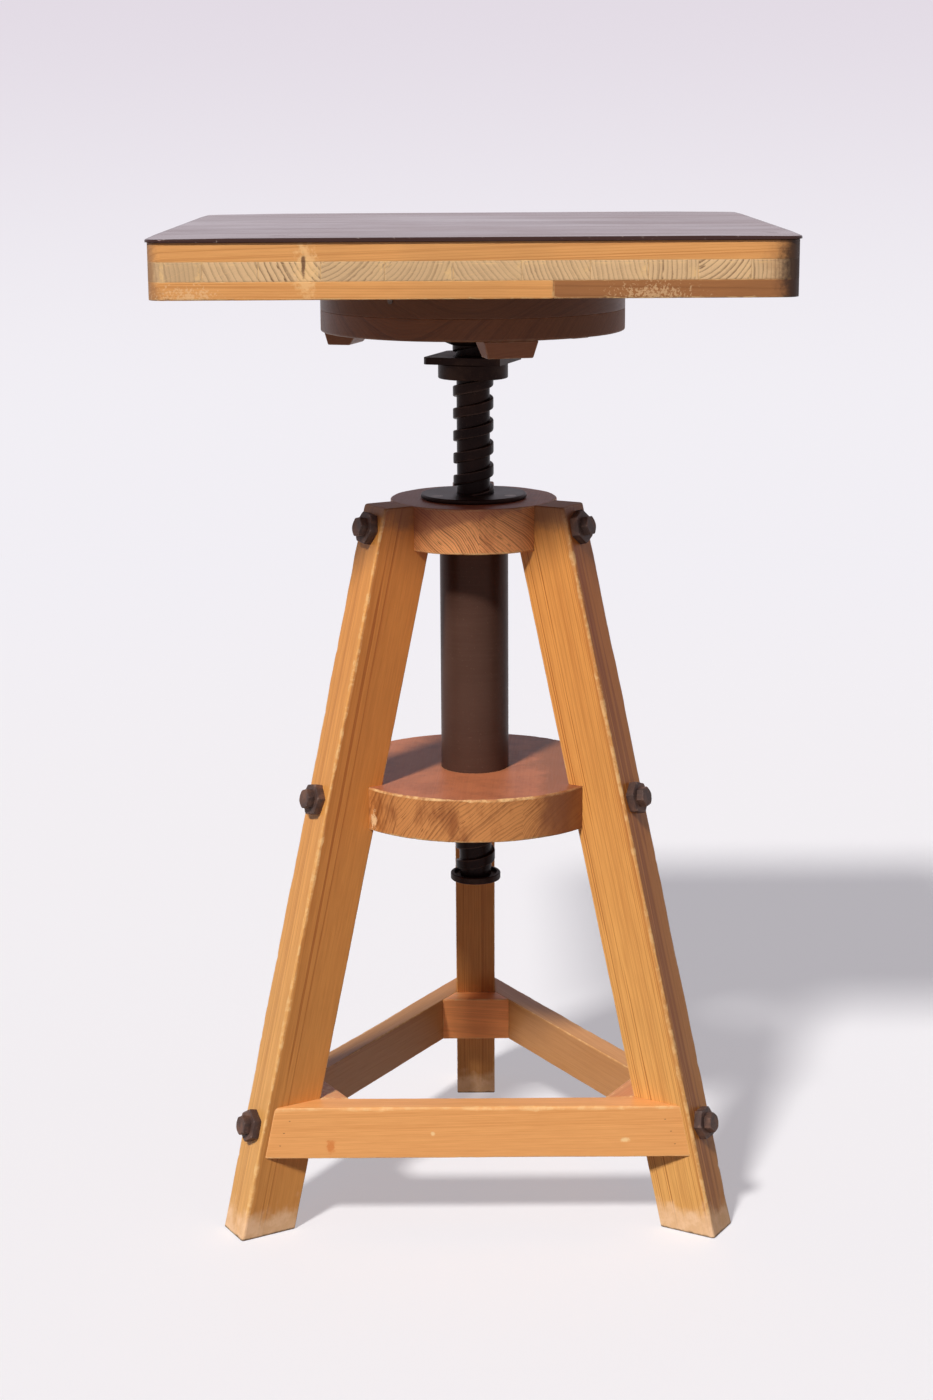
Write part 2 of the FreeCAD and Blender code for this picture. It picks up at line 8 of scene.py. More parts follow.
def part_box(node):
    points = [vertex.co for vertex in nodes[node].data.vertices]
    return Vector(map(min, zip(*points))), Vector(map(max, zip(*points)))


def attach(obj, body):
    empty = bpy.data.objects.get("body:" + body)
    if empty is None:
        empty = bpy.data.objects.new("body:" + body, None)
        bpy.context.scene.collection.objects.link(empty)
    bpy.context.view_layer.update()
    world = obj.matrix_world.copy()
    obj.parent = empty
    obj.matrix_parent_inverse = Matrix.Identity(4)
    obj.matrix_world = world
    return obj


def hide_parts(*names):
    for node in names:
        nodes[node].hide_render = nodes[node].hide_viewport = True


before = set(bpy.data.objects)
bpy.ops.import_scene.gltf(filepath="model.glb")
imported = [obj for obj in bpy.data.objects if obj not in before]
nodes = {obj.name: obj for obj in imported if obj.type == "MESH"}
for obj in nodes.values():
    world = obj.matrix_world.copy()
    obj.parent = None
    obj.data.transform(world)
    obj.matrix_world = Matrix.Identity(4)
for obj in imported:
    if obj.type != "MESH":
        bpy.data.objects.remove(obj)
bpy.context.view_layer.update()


# shader sums: a wrapped socket adds its own Math nodes when it is used in an expression
class Signal:
    def __init__(self, finish, socket):
        self.finish = finish
        self.socket = socket

    def maths(self, operation, *values):
        return self.finish.add("Math", {"operation": operation}, values)

    def __add__(self, other):
        return self.maths("ADD", self, other)

    def __radd__(self, other):
        return self.maths("ADD", other, self)

    def __sub__(self, other):
        return self.maths("SUBTRACT", self, other)

    def __rsub__(self, other):
        return self.maths("SUBTRACT", other, self)

    def __mul__(self, other):
        return self.maths("MULTIPLY", self, other)

    def __rmul__(self, other):
        return self.maths("MULTIPLY", other, self)

    def __truediv__(self, other):
        return self.maths("DIVIDE", self, other)

    def __abs__(self):
        return self.maths("ABSOLUTE", self)

    def whole(self):
        return self.maths("FLOOR", self)

    def part(self):
        return self.maths("FRACT", self)


# the node tree of one material, or of the world
class Finish:
    def __init__(self, owner):
        owner.use_nodes = True
        self.owner = owner
        self.tree = owner.node_tree
        self.tree.nodes.clear()

    # a node of the given type: its settings first, then the values or links of its sockets
    def add(self, kind, settings=None, values=(), give=0):
        node = self.tree.nodes.new("ShaderNode" + kind)
        for key, value in (settings or {}).items():
            if key == "stops":
                self.setStops(node.color_ramp, value)
            else:
                setattr(node, key, value)
        pairs = values.items() if isinstance(values, dict) else enumerate(values)
        for key, value in pairs:
            if isinstance(value, Signal):
                self.tree.links.new(value.socket, node.inputs[key])
            else:
                node.inputs[key].default_value = value
        return Signal(self, node.outputs[give]) if node.outputs else None

    def setStops(self, ramp, stops):
        while len(ramp.elements) < len(stops):
            ramp.elements.new(0.5)
        for element, (place, grey) in zip(ramp.elements, stops):
            element.position = place
            element.color = (grey, grey, grey, 1)

    def mix(self, share, first, second):
        ends = [(*c, 1) if isinstance(c, tuple) else c for c in (first, second)]
        return self.add("Mix", {"data_type": "RGBA"}, {0: share, 6: ends[0], 7: ends[1]}, give=2)

    # 0 below low, 1 above high, eased between
    def step(self, value, low, high):
        return self.add("MapRange", {"interpolation_type": "SMOOTHSTEP"}, {0: value, 1: low, 2: high})

    def vector(self, operation, *values, give=0):
        return self.add("VectorMath", {"operation": operation}, values, give=give)

    def scaled(self, vector, factor):
        return self.add("VectorMath", {"operation": "SCALE"}, {0: vector, "Scale": factor})

    def tinted(self, share, colour, tint):
        return self.mix(share, colour, self.vector("MULTIPLY", colour, tint))

    def split(self, vector, axis):
        return self.add("SeparateXYZ", None, [vector], give="XYZ".index(axis))

    def cloud(self, place, scale, detail=3.0, rough=0.55):
        return self.add("TexNoise", None, {"Vector": place, "Scale": scale, "Detail": detail,
                                           "Roughness": rough})

    def line(self, along, detail):
        return self.add("TexNoise", {"noise_dimensions": "1D"}, {"W": along, "Detail": detail})

    def chance(self, number, give):
        return self.add("TexWhiteNoise", {"noise_dimensions": "1D"}, {"W": number}, give=give)

    def place(self):
        return self.add("TexCoord", give="Object")

    def worn(self):
        return self.add("Attribute", {"attribute_name": "worn"}, give="Fac")

    def close(self, values, height, bump, depth):
        values["Normal"] = self.add("Bump", None, {"Strength": bump, "Distance": depth, "Height": height})
        return self.show(self.add("BsdfPrincipled", None, values))

    def show(self, shader, output="OutputMaterial"):
        self.add(output, None, {"Surface": shader})
        return self.owner


def newFinish(name):
    return Finish(bpy.data.materials.new(name))


def turnedBy(azimuth):
    return Matrix.Rotation(math.radians(azimuth), 3, "Z")


def wobble(x, y=0.0, z=0.0):
    return noise.noise(Vector((x, y, z)))   # smooth, about -1 to 1, the same every run


pine = {"early": (0.80, 0.345, 0.080), "late": (0.44, 0.130, 0.018), "raw": (0.92, 0.60, 0.27),
        "spacing": 0.0030, "line": 0.80, "steady": 0.30, "uneven": 2.4, "drift": 0.014, "rough": 0.42,
        "worn": 0.75, "tone": 0.30,
        # how dark the wood of one year is, from its spring to its end
        "year": [(0.0, 0.0), (0.45, 0.05), (0.80, 0.65), (0.92, 1.0), (0.99, 0.1)]}


def toned(colour, factor):
    return tuple(c * factor for c in colour)


# growth rings as real wood has them: shells round a pith line, cut by whatever face the piece has
def wood(name, grain, pith, look, stain=None, foot=None, roundMarks=(), darkenedTowards=(), paintedShade=None, fade=None):
    f = newFinish(name)
    look = {**pine, **look}
    axis = Vector(grain).normalized()
    place = f.place()
    local = f.vector("SUBTRACT", place, tuple(pith))
    if "strips" in look:
        glued = look["strips"]
        number = ((f.split(place, "X") + glued["start"]) / glued["wide"]).whole()
        lot = f.chance(number + glued["seed"], "Color")
        moved = f.vector("MULTIPLY", f.vector("SUBTRACT", lot, (0.5, 0.5, 0.5)), glued["spread"])
        local = f.vector("SUBTRACT", local, moved)
        cast = f.split(lot, "Y")
    along = f.vector("DOT_PRODUCT", local, tuple(axis), give="Value")
    across = f.vector("SUBTRACT", local, f.scaled(tuple(axis), along))
    fibre = f.vector("ADD", across, f.scaled(tuple(axis), along * 0.045))
    radius = f.vector("LENGTH", across, give="Value")
    slow = f.cloud(fibre, 16, 2, 0.5)
    reach = radius + (slow - 0.5) * look["drift"]
    years = reach / look["spacing"]
    years = years + (f.line(years * 0.31, 1.0) - 0.5) * look["uneven"]
    rings = years + (f.cloud(fibre, 150, 2, 0.5) - 0.5) * 0.5
    yearly = f.chance(rings.whole(), "Value")
    late = f.add("ValToRGB", {"stops": look["year"]}, {0: rings.part()})
    depth = late * (look["steady"] + (1 - look["steady"]) * yearly) * look["line"]
    streak = f.cloud(fibre, 800, 3, 0.6)
    patch = f.cloud(f.vector("ADD", place, (4.1, 1.7, 0.3)), 9, 3, 0.55)
    belt = f.line(reach * 55, 2.0)
    colour = f.mix(depth, look["early"], look["late"])
    colour = f.mix(f.step(belt, 0.45, 0.70) * look["tone"], colour,
                   f.mix(0.45, toned(look["early"], 0.75), look["late"]))
    colour = f.mix((streak - 0.5) * 0.7 + 0.10, colour, look["late"])
    colour = f.mix(f.step(patch, 0.45, 0.72) * look["tone"], colour, toned(look["early"], 0.62))
    facing = f.add("TexCoord", give="Normal")
    ends = f.step(abs(f.vector("DOT_PRODUCT", facing, tuple(axis), give="Value")), 0.72, 0.95)
    pores = f.cloud(across, 1500, 2, 0.6)
    endColour = f.mix(depth + (pores - 0.5) * 0.35, look.get("endEarly", toned(look["early"], 0.72)),
                      look.get("endLate", toned(look["late"], 0.7)))
    colour = f.mix(ends * look.get("endShare", 0.6), colour, endColour)
    if "strips" in look:
        colour = f.tinted(f.step(cast, 0.35, 0.9) * 0.55, colour, glued["tint"])
        blot = f.cloud(f.vector("MULTIPLY", place, (1, 1, 0.45)), glued["blot"], 4, 0.65)
        colour = f.tinted(f.step(blot, 0.47, 0.66) * glued["share"], colour, glued["stain"])
    rough = look["rough"] + (streak - 0.5) * 0.16 + ends * 0.15
    if fade:
        colour = f.tinted(1 - f.step(f.split(place, "Z"), fade["low"], fade["high"]), colour, fade["tint"])
    # painted shade: the face turned the given way is tinted darker, where less light falls on it
    if paintedShade:
        turned = f.vector("DOT_PRODUCT", facing, tuple(Vector(paintedShade["facing"]).normalized()), give="Value")
        colour = f.tinted(f.step(turned, 0.80, 0.95), colour, paintedShade["tint"])
    if stain:
        up = f.step(f.split(facing, "Z"), 0.6, 0.9)
        smoky = f.cloud(place, 26, 4, 0.65)
        stained = f.mix(depth * 0.06 + f.step(smoky, 0.40, 0.70) * 0.6, stain["light"], stain["dark"])
        colour = f.mix(up * stain["share"], colour, stained)
        rough = rough + up * 0.06
    worn = f.worn()
    bite = f.cloud(place, 120, 4, 0.7)
    bare = f.step(worn * (0.30 + bite), 0.74, 0.93) * look["worn"]
    soft = f.step(worn, 0.5, 1.0) * 0.25
    colour = f.mix(soft, colour, f.mix(0.5, colour, look["raw"]))
    colour = f.mix(bare, colour, f.mix(streak, look["raw"], toned(look["raw"], 0.85)))
    height = depth * -0.35 + streak * 0.5 - bare * 0.8
    if foot:
        z = f.split(place, "Z")
        tall = z - (f.cloud(fibre, 330, 3, 0.6) - 0.5) * 0.012 - (f.cloud(place, 34, 4, 0.6) - 0.5) * 0.060
        scuff = 1 - f.step(tall, foot["low"], foot["high"])
        pale = f.mix(f.step(f.cloud(place, 110, 4, 0.65), 0.35, 0.65), foot["light"], foot["dark"])
        colour = f.mix(scuff * foot["share"], colour, pale)
        rough = rough + scuff * 0.25
        black = 1 - f.step(z + (bite - 0.5) * 0.004, 0.0004, 0.0022)
        colour = f.mix(black * 0.8, colour, (0.05, 0.032, 0.022))
    # darker towards one way: the colour darkens in mottled patches past a plane
    for darkening in darkenedTowards:
        side = f.vector("DOT_PRODUCT", f.vector("SUBTRACT", place, darkening["from"]), darkening["way"],
                        give="Value")
        mottle = f.cloud(place, darkening["scale"], 4, 0.65)
        smear = f.step(mottle * 0.7 + f.step(side, 0.0, darkening["reach"]) * 0.6, 0.55, 0.85)
        colour = f.mix(smear * darkening["share"], colour, darkening["colour"])
    # round marks: scars and chips, and also painted shade on the board's right corner and a painted shadow
    # round the tube on the lower disc
    for roundMark in roundMarks:
        gap = f.vector("MULTIPLY", f.vector("SUBTRACT", place, roundMark["at"]), roundMark["squeeze"])
        frayed = (f.cloud(place, roundMark.get("grain", 260), 4, 0.7) - 0.5) * roundMark["ragged"]
        hit = f.vector("LENGTH", gap, give="Value") + frayed
        mark = 1 - f.step(hit, roundMark["size"] * 0.4, roundMark["size"])
        colour = f.mix(mark * roundMark["share"], colour, roundMark["colour"])
        height = height - mark * 0.6
    return f.close({"Base Color": colour, "Roughness": rough, "Specular IOR Level": 0.22}, height, 0.25,
                   0.0006)


# metal that is painted, blackened or rusted: a base, patches of a second tone and fine pitting
def metal(name, look):
    f = newFinish(name)
    place = f.place()
    patch = f.cloud(place, look["patch"], 4, 0.6)
    grit = f.cloud(place, look["grit"], 3, 0.6)
    share = f.step(patch, look["from"], look["to"])
    colour = f.mix(share, look["first"], look["second"])
    rough = look["rough"] + (patch - 0.5) * look["roughSwing"]
    if "brush" in look:
        stretched = f.vector("MULTIPLY", place, look["brush"])
        lines = f.cloud(stretched, 60, 3, 0.6)
        colour = f.mix(f.step(lines, 0.40, 0.75) * 0.35, colour, look["lines"])
        rough = rough + (lines - 0.5) * 0.18
        grit = grit * 0.3 + lines
    speck = f.step(f.cloud(place, 700, 2, 0.5), 0.66, 0.74)
    colour = f.mix(speck * look["specks"], colour, look["speck"])
    # lighter on worn edges: rubbed metal, and on the spindle's crest corners partly a painted highlight
    colour = f.mix(f.step(f.worn() * (0.3 + patch), 0.5, 0.8) * 0.6, colour, look["edge"])
    return f.close({"Base Color": colour, "Roughness": rough, "Metallic": look["metallic"],
                    "Specular IOR Level": look["gloss"]}, grit, look["bump"], look["depth"])


iron = {"gloss": 0.06, "first": (0.026, 0.0125, 0.010), "second": (0.058, 0.029, 0.020), "from": 0.45,
        "to": 0.70, "patch": 26, "grit": 480, "rough": 0.40, "roughSwing": 0.25, "metallic": 0.15,
        "bump": 0.22, "depth": 0.0003, "specks": 0.35, "speck": (0.14, 0.08, 0.055),
        "edge": (0.16, 0.10, 0.08)}
lockIron = {**iron, "second": (0.070, 0.038, 0.026)}
screwIron = {**iron, "first": (0.018, 0.009, 0.008), "second": (0.036, 0.018, 0.014), "rough": 0.34,
             "edge": (0.10, 0.060, 0.048)}
rust = {"gloss": 0.25, "first": (0.075, 0.044, 0.036), "second": (0.160, 0.082, 0.055), "from": 0.42,
        "to": 0.66, "patch": 95, "grit": 900, "rough": 0.58, "roughSwing": 0.2, "metallic": 0.15,
        "bump": 0.45, "depth": 0.0004, "specks": 0.4, "speck": (0.26, 0.15, 0.10), "edge": (0.24, 0.16, 0.13)}
bronze = {"gloss": 0.05, "first": (0.076, 0.036, 0.025), "second": (0.098, 0.049, 0.035), "from": 0.35,
          "to": 0.75, "patch": 9, "grit": 700, "rough": 0.36, "roughSwing": 0.12, "metallic": 0.10,
          "bump": 0.06, "depth": 0.0002, "specks": 0.22, "speck": (0.22, 0.135, 0.10),
          "edge": (0.15, 0.10, 0.08), "brush": (0.5, 0.5, 9.0), "lines": (0.100, 0.053, 0.039)}
steel = {"gloss": 0.4, "first": (0.12, 0.09, 0.075), "second": (0.06, 0.04, 0.03), "from": 0.45, "to": 0.7,
         "patch": 130, "grit": 900, "rough": 0.45, "roughSwing": 0.2, "metallic": 0.7, "bump": 0.3,
         "depth": 0.0003, "specks": 0.3, "speck": (0.12, 0.06, 0.03), "edge": (0.3, 0.26, 0.22)}
nailSteel = {**steel, "gloss": 0.2, "first": (0.34, 0.15, 0.055), "second": (0.18, 0.075, 0.030),
             "metallic": 0.0}


# the corners of a closed outline eased to small arcs; worn marks the points on the arcs
def easedLoop(corners, radii, inset=0.0, arc=4, margin=0.0012):
    points, worn = [], []
    for i, corner in enumerate(corners):
        back = (corners[i - 1] - corner).normalized()
        ahead = (corners[(i + 1) % len(corners)] - corner).normalized()
        spot = corner + (back + ahead) * inset
        reach = radii[i]
        points.append(spot + back * (reach + margin))
        worn.append(0.0)
        for k in range(arc + 1):
            t = k / arc
            points.append(spot + back * reach * (1 - t) ** 2 + ahead * reach * t ** 2)
            worn.append(1.0)
        points.append(spot + ahead * (reach + margin))
        worn.append(0.0)
    return points, worn


def loftFaces(loops, count, closed):
    faces = []
    for i in range(loops if closed else loops - 1):
        a, b = i * count, (i + 1) % loops * count
        faces += [(a + j, a + (j + 1) % count, b + (j + 1) % count, b + j) for j in range(count)]
    if not closed:
        faces.append(tuple(range(count - 1, -1, -1)))
        faces.append(tuple(range((loops - 1) * count, loops * count)))
    return faces


def ringPoints(profile, around):
    angles = [math.tau * k / around for k in range(around)]
    return [(r * math.cos(a), r * math.sin(a), z) for r, z in profile for a in angles]


def makePiece(name, points, faces, worn, material, body, replaced, sharp=34):
    mesh = bpy.data.meshes.new(name)
    mesh.from_pydata([tuple(p) for p in points], [], faces)
    mesh.attributes.new("worn", "FLOAT", "POINT").data.foreach_set("value", worn)
    tidy = bmesh.new()
    tidy.from_mesh(mesh)
    bmesh.ops.recalc_face_normals(tidy, faces=tidy.faces)
    tidy.to_mesh(mesh)
    tidy.free()
    mesh.shade_smooth()
    mesh.set_sharp_from_angle(angle=math.radians(sharp))
    piece = bpy.data.objects.new(name, mesh)
    bpy.context.scene.collection.objects.link(piece)
    mesh.materials.append(material)
    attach(piece, body)
    if replaced:
        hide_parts(*replaced)
    return piece


# how far an edge has been rubbed back at one place along it, with the odd chip
def rubbed(base, place, seed, chips=0.0):
    slow = 0.85 + 0.55 * wobble(place * 21, seed) + 0.35 * wobble(place * 77, seed + 3.1)
    bite = max(0.0, wobble(place * 190, seed + 7.7) - 0.30) * chips
    return base * max(slow, 0.3) + bite


# a bar between two end quads, its long edges rubbed and its ends eased
def barPiece(name, cornersAt, length, edges, endEase, material, body, replaced, seed=0.0, chips=None,
             stations=80, cuts=(), tightEnds=0.0):
    chips = chips or [0.0] * len(edges)
    turns = [(endEase * (1 - math.cos(a)), endEase * (1 - math.sin(a))) for a in (0.0, 0.6, 1.1, math.pi / 2)]
    start = endEase + 0.0012
    places = [(0.0, start, 0.0)] + [(d, inset, 1.0) for d, inset in turns]
    places += [(start + (length - 2 * start) * k / stations, 0.0, 0.0) for k in range(stations + 1)]
    if tightEnds:
        extra = [tightEnds * k / 10 for k in range(1, 10)]
        places += [(start + d, 0.0, 0.0) for d in extra] + [(length - start - d, 0.0, 0.0) for d in extra]
    places += [(length - d, inset, 1.0) for d, inset in reversed(turns)] + [(length, start, 0.0)]
    places = [p for _, p in sorted(enumerate(places), key=lambda pair: (round(pair[1][0], 7), pair[0]))]
    points, worn = [], []
    for distance, inset, atEnd in places:
        corners = cornersAt(distance / length)
        radii = [rubbed(edge, distance, seed + 11 * i, chips[i]) for i, edge in enumerate(edges)]
        loop, marks = easedLoop(corners, radii, inset)
        points += loop
        worn += [max(m, atEnd) for m in marks]
    faces = loftFaces(len(places), len(loop), False)
    piece = makePiece(name, points, faces, worn, material, body, replaced)
    for cut in cuts:
        cutAway(piece, cut)
    return piece


# a plain round cutter between two heights, taken away from the piece
def cutAway(piece, cut):
    points = ringPoints([(cut["radius"], cut["bottom"]), (cut["radius"], cut["top"])], 160)
    tool = bpy.data.meshes.new("cutter")
    tool.from_pydata(points, [], loftFaces(2, 160, False))
    holder = bpy.data.objects.new("cutter", tool)
    bpy.context.scene.collection.objects.link(holder)
    modifier = piece.modifiers.new("seat", "BOOLEAN")
    modifier.operation = "DIFFERENCE"
    modifier.solver = "EXACT"
    modifier.object = holder
    view = bpy.context.evaluated_depsgraph_get()
    view.update()
    carved = bpy.data.meshes.new_from_object(piece.evaluated_get(view))
    piece.modifiers.clear()
    piece.data = carved
    carved.shade_smooth()
    carved.set_sharp_from_angle(angle=math.radians(34))
    bpy.data.objects.remove(holder)


# a ring or disc turned from a radial outline of (radius, height, edge) corners
def turnedPiece(name, outline, material, body, replaced, seed=0.0, chips=0.0, around=220):
    points, worn = [], []
    for k in range(around):
        angle = math.tau * k / around
        way = Vector((math.cos(angle), math.sin(angle), 0))
        corners = [way * r + Vector((0, 0, z)) for r, z, edge in outline]
        spread = 0.13 * math.cos(angle), 0.13 * math.sin(angle)
        radii = []
        for i, (r, z, edge) in enumerate(outline):
            slow = 0.85 + 0.5 * wobble(spread[0] * 25, spread[1] * 25, seed + i)
            bite = max(0.0, wobble(spread[0] * 130, spread[1] * 130, seed + i + 5) - 0.34)
            radii.append(edge * max(slow, 0.35) + bite * chips * (edge > 0.0004))
        loop, marks = easedLoop(corners, radii, margin=0.0008)
        points += loop
        worn += marks
    return makePiece(name, points, loftFaces(around, len(loop), True), worn, material, body, replaced)


# camera and studio
studio = {"lens": 2485.8 / 1400 * 36, "from": (-0.0062, -1.8222, 0.8101), "down": 13.17, "roll": -0.34,
          "floorColour": (0.96, 0.95, 0.96), "floorGlow": 0.43,
          "wallLow": (0.885, 0.862, 0.908), "wallHigh": (0.76, 0.70, 0.775),
          "sunFrom": (-0.466, -0.85, 1.0), "sunStrength": 3.5, "sunAngle": 7.5,
          "sunColour": (1.0, 0.985, 0.965), "above": (0.115, 0.105, 0.125), "below": (0.26, 0.215, 0.185)}


def buildCamera():
    data = bpy.data.cameras.new("camera")
    data.sensor_fit = "VERTICAL"
    data.sensor_height = 36
    data.lens = studio["lens"]
    data.clip_start, data.clip_end = 0.05, 60
    camera = bpy.data.objects.new("camera", data)
    down, roll = math.radians(studio["down"]), math.radians(studio["roll"])
    ahead = Vector((0, math.cos(down), -math.sin(down)))
    right = Vector((1, 0, 0))
    up = right.cross(ahead)
    side = right * math.cos(roll) + up * math.sin(roll)
    top = up * math.cos(roll) - right * math.sin(roll)
    turn = Matrix((side, top, -ahead)).transposed()
    camera.matrix_world = Matrix.Translation(Vector(studio["from"])) @ turn.to_4x4()
    bpy.context.scene.collection.objects.link(camera)
    bpy.context.scene.camera = camera


def ringMesh(name, profile, material, closeIn):
    mesh = bpy.data.meshes.new(name)
    faces = loftFaces(len(profile), 96, False)
    mesh.from_pydata(ringPoints(profile, 96), [], faces[:-1] if closeIn else faces[:-2])
    mesh.shade_smooth()
    mesh.materials.append(material)
    sheet = bpy.data.objects.new(name, mesh)
    bpy.context.scene.collection.objects.link(sheet)
    return sheet


def buildStudio():
    f = newFinish("paperFloor")
    place = f.place()
    away = f.vector("LENGTH", f.vector("MULTIPLY", place, (1, 1, 0)), give="Value")
    colour = f.mix((f.cloud(place, 2.2, 3, 0.5) - 0.5) * 0.3, studio["floorColour"],
                   toned(studio["floorColour"], 0.93))
    paper = f.add("BsdfPrincipled", None, {"Base Color": colour, "Roughness": 0.9})
    glow = f.add("Emission", None, {"Color": (*studio["wallLow"], 1), "Strength": 1.0})
    share = studio["floorGlow"] + f.step(away, 0.9, 3.0) * (1 - studio["floorGlow"])
    ground = f.show(f.add("MixShader", None, {0: share, 1: paper, 2: glow}))
    floor = ringMesh("floor", [(r, 0.0) for r in (0.3, 0.6, 1.0, 1.5, 2.0, 2.5, 3.0, 3.4)], ground, True)
    floor.visible_diffuse = floor.visible_shadow = False

    g = newFinish("backdropGlow")
    sky = g.mix(g.step(g.split(g.place(), "Z"), 0.1, 1.3), studio["wallLow"], studio["wallHigh"])
    light = g.show(g.add("Emission", None, {"Color": sky, "Strength": 1.0}))
    bend = [math.pi / 2 * k / 12 for k in range(13)]
    sweep = [(3.4 + 1.4 * math.sin(a), 1.4 - 1.4 * math.cos(a)) for a in bend]
    wall = ringMesh("backdrop", sweep + [(4.8, 3.0), (4.8, 6.0)], light, False)
    wall.visible_diffuse = wall.visible_shadow = wall.visible_transmission = False

    sun = bpy.data.lights.new("key", "SUN")
    sun.energy = studio["sunStrength"]
    sun.angle = math.radians(studio["sunAngle"])
    sun.color = studio["sunColour"]
    key = bpy.data.objects.new("key", sun)
    key.matrix_world = Vector(studio["sunFrom"]).to_track_quat("Z", "Y").to_matrix().to_4x4()
    bpy.context.scene.collection.objects.link(key)

    world = bpy.data.worlds.new("studio")
    bpy.context.scene.world = world
    w = Finish(world)
    rise = w.split(w.add("TexCoord", give="Generated"), "Z")
    glowing = w.mix(w.step(rise, -0.25, 0.25), studio["below"], studio["above"])
    w.show(w.add("Background", None, {"Color": glowing, "Strength": 1.0}), "OutputWorld")
    bpy.context.scene.view_settings.view_transform = "Standard"


buildCamera()
buildStudio()
print("camera, floor and light placed")


# the mesh points of a CAD node, turned about the screw so that its own azimuth lies along +X
def pointsOf(node, azimuth=0.0):
    turn = turnedBy(-azimuth)
    return [turn @ v.co for v in nodes[node].data.vertices]


def levelQuad(points, height):
    level = [p for p in points if abs(p.z - height) < 0.0002]
    outer = max(p.x for p in level)
    inner = min(p.x for p in level)
    wideOut = max(abs(p.y) for p in level if p.x > outer - 0.0003)
    wideIn = max(abs(p.y) for p in level if p.x < inner + 0.0003)
    return outer, wideOut, inner, wideIn


legs = {"azimuths": {"rear": 90, "left": 210, "right": 330}, "outerEdge": 0.0025, "innerEdge": 0.0009,
        "chips": 0.0030, "innerChips": 0.0008, "endEase": 0.0011,
        # for each leg: pith out, pith aside, ring spacing
        "piths": {"rear": (0.01, 0.060, 0.0026), "left": (0.012, 0.080, 0.0034),
                  "right": (0.085, 0.020, 0.0042)},
        "lines": {"rear": 0.95, "left": 0.72, "right": 0.95},
        "look": {"drift": 0.007, "tone": 0.14, "late": (0.36, 0.085, 0.010), "worn": 0.6},
        "fade": {"low": 0.02, "high": 0.50, "tint": (1.02, 1.24, 1.60)},
        # painted shade: on each leg the face turned this way is tinted darker, as it turns from the light or
        # lies in shadow
        "shaded": {"rear": {"facing": (0, -1, 0), "tint": (0.8, 0.7, 0.7)},
                   "left": {"facing": (0.5, -0.866, 0), "tint": (0.86, 0.72, 0.62)},
                   "right": {"facing": (0.866, -0.5, 0), "tint": (0.71, 0.56, 0.38)}},
        # the leg's colour darkens towards its top
        "grime": {"way": (0, 0, 1), "reach": 0.04, "share": 0.6, "scale": 55, "colour": (0.20, 0.085, 0.045)}}
footScuff = {"low": 0.010, "high": 0.028, "share": 0.80, "light": (0.96, 0.64, 0.40),
             "dark": (0.84, 0.53, 0.30)}


def buildLegs():
    hubLow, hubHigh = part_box("hub_disc")
    discLow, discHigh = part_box("lower_disc")
    seats = [{"radius": hubHigh.x + 0.0001, "bottom": hubLow.z, "top": hubHigh.z + 0.01},
             {"radius": discHigh.x + 0.0001, "bottom": discLow.z, "top": discHigh.z}]
    for side, azimuth in legs["azimuths"].items():
        node = "leg_" + side
        points = pointsOf(node, azimuth)
        high = max(p.z for p in points)
        low = min(p.z for p in points)
        outFoot = max(p.x for p in points if p.z < low + 0.001)
        inFoot = min(p.x for p in points if p.z < low + 0.001)
        outTop = max(p.x for p in points if p.z > high - 0.001)
        half = max(abs(p.y) for p in points)
        turn = turnedBy(azimuth)

        def cornersAt(t):
            outer = outFoot + (outTop - outFoot) * t
            inner = outer - (outFoot - inFoot)
            z = low + (high - low) * t
            return [turn @ Vector(c) for c in ((outer, -half, z), (outer, half, z), (inner, half, z),
                                               (inner, -half, z))]

        grain = turn @ Vector((outTop - outFoot, 0, high - low))
        middle = Vector(((outFoot + inFoot) / 2, 0, 0))
        far, sideways, spacing = legs["piths"][side]
        pith = turn @ (middle + Vector((-far, sideways, 0)))
        look = {**legs["look"], "spacing": spacing, "line": legs["lines"][side]}
        finish = wood("pine" + side.title(), grain, pith, look, foot=footScuff, paintedShade=legs["shaded"][side],
                      fade=legs["fade"], darkenedTowards=[{**legs["grime"], "from": (0, 0, high - 0.035)}])
        barPiece("leg" + side.title(), cornersAt, high - low,
                 [legs["outerEdge"]] * 2 + [legs["innerEdge"]] * 2, legs["endEase"], finish, "stand",
                 [node], seed=azimuth * 0.37,
                 chips=[legs["chips"]] * 2 + [legs["innerChips"]] * 2, stations=150, cuts=seats)


rails = {"azimuths": {"front": 270, "right": 30, "left": 150},
         # painted shade: the right and left rails, behind the stand, are toned darker than the front rail
         "tones": {"front": 1.0, "right": 0.78, "left": 0.60}, "edges": [0.0009, 0.0007, 0.0009, 0.0023],
         "chips": [0.0012, 0.0004, 0.0006, 0.0024], "endEase": 0.0008, "early": (0.84, 0.395, 0.135),
         "late": (0.54, 0.19, 0.035), "look": {"spacing": 0.0032, "line": 0.38, "worn": 0.5, "tone": 0.15}}
railMarks = [{"at": (-0.1085, 0.070), "squeeze": (1.4, 0.5, 1), "ragged": 0.010, "size": 0.0062, "share": 0.6,
              "colour": (0.62, 0.15, 0.02)},
             {"at": (0.1090, 0.0745), "squeeze": (0.55, 0.4, 1.3), "ragged": 0.004, "size": 0.0028,
              "share": 0.8, "colour": (0.95, 0.66, 0.32)},
             {"at": (-0.0330, 0.0800), "squeeze": (1, 0.4, 0.8), "ragged": 0.003, "size": 0.0018,
              "share": 0.8, "colour": (0.92, 0.62, 0.30)}]


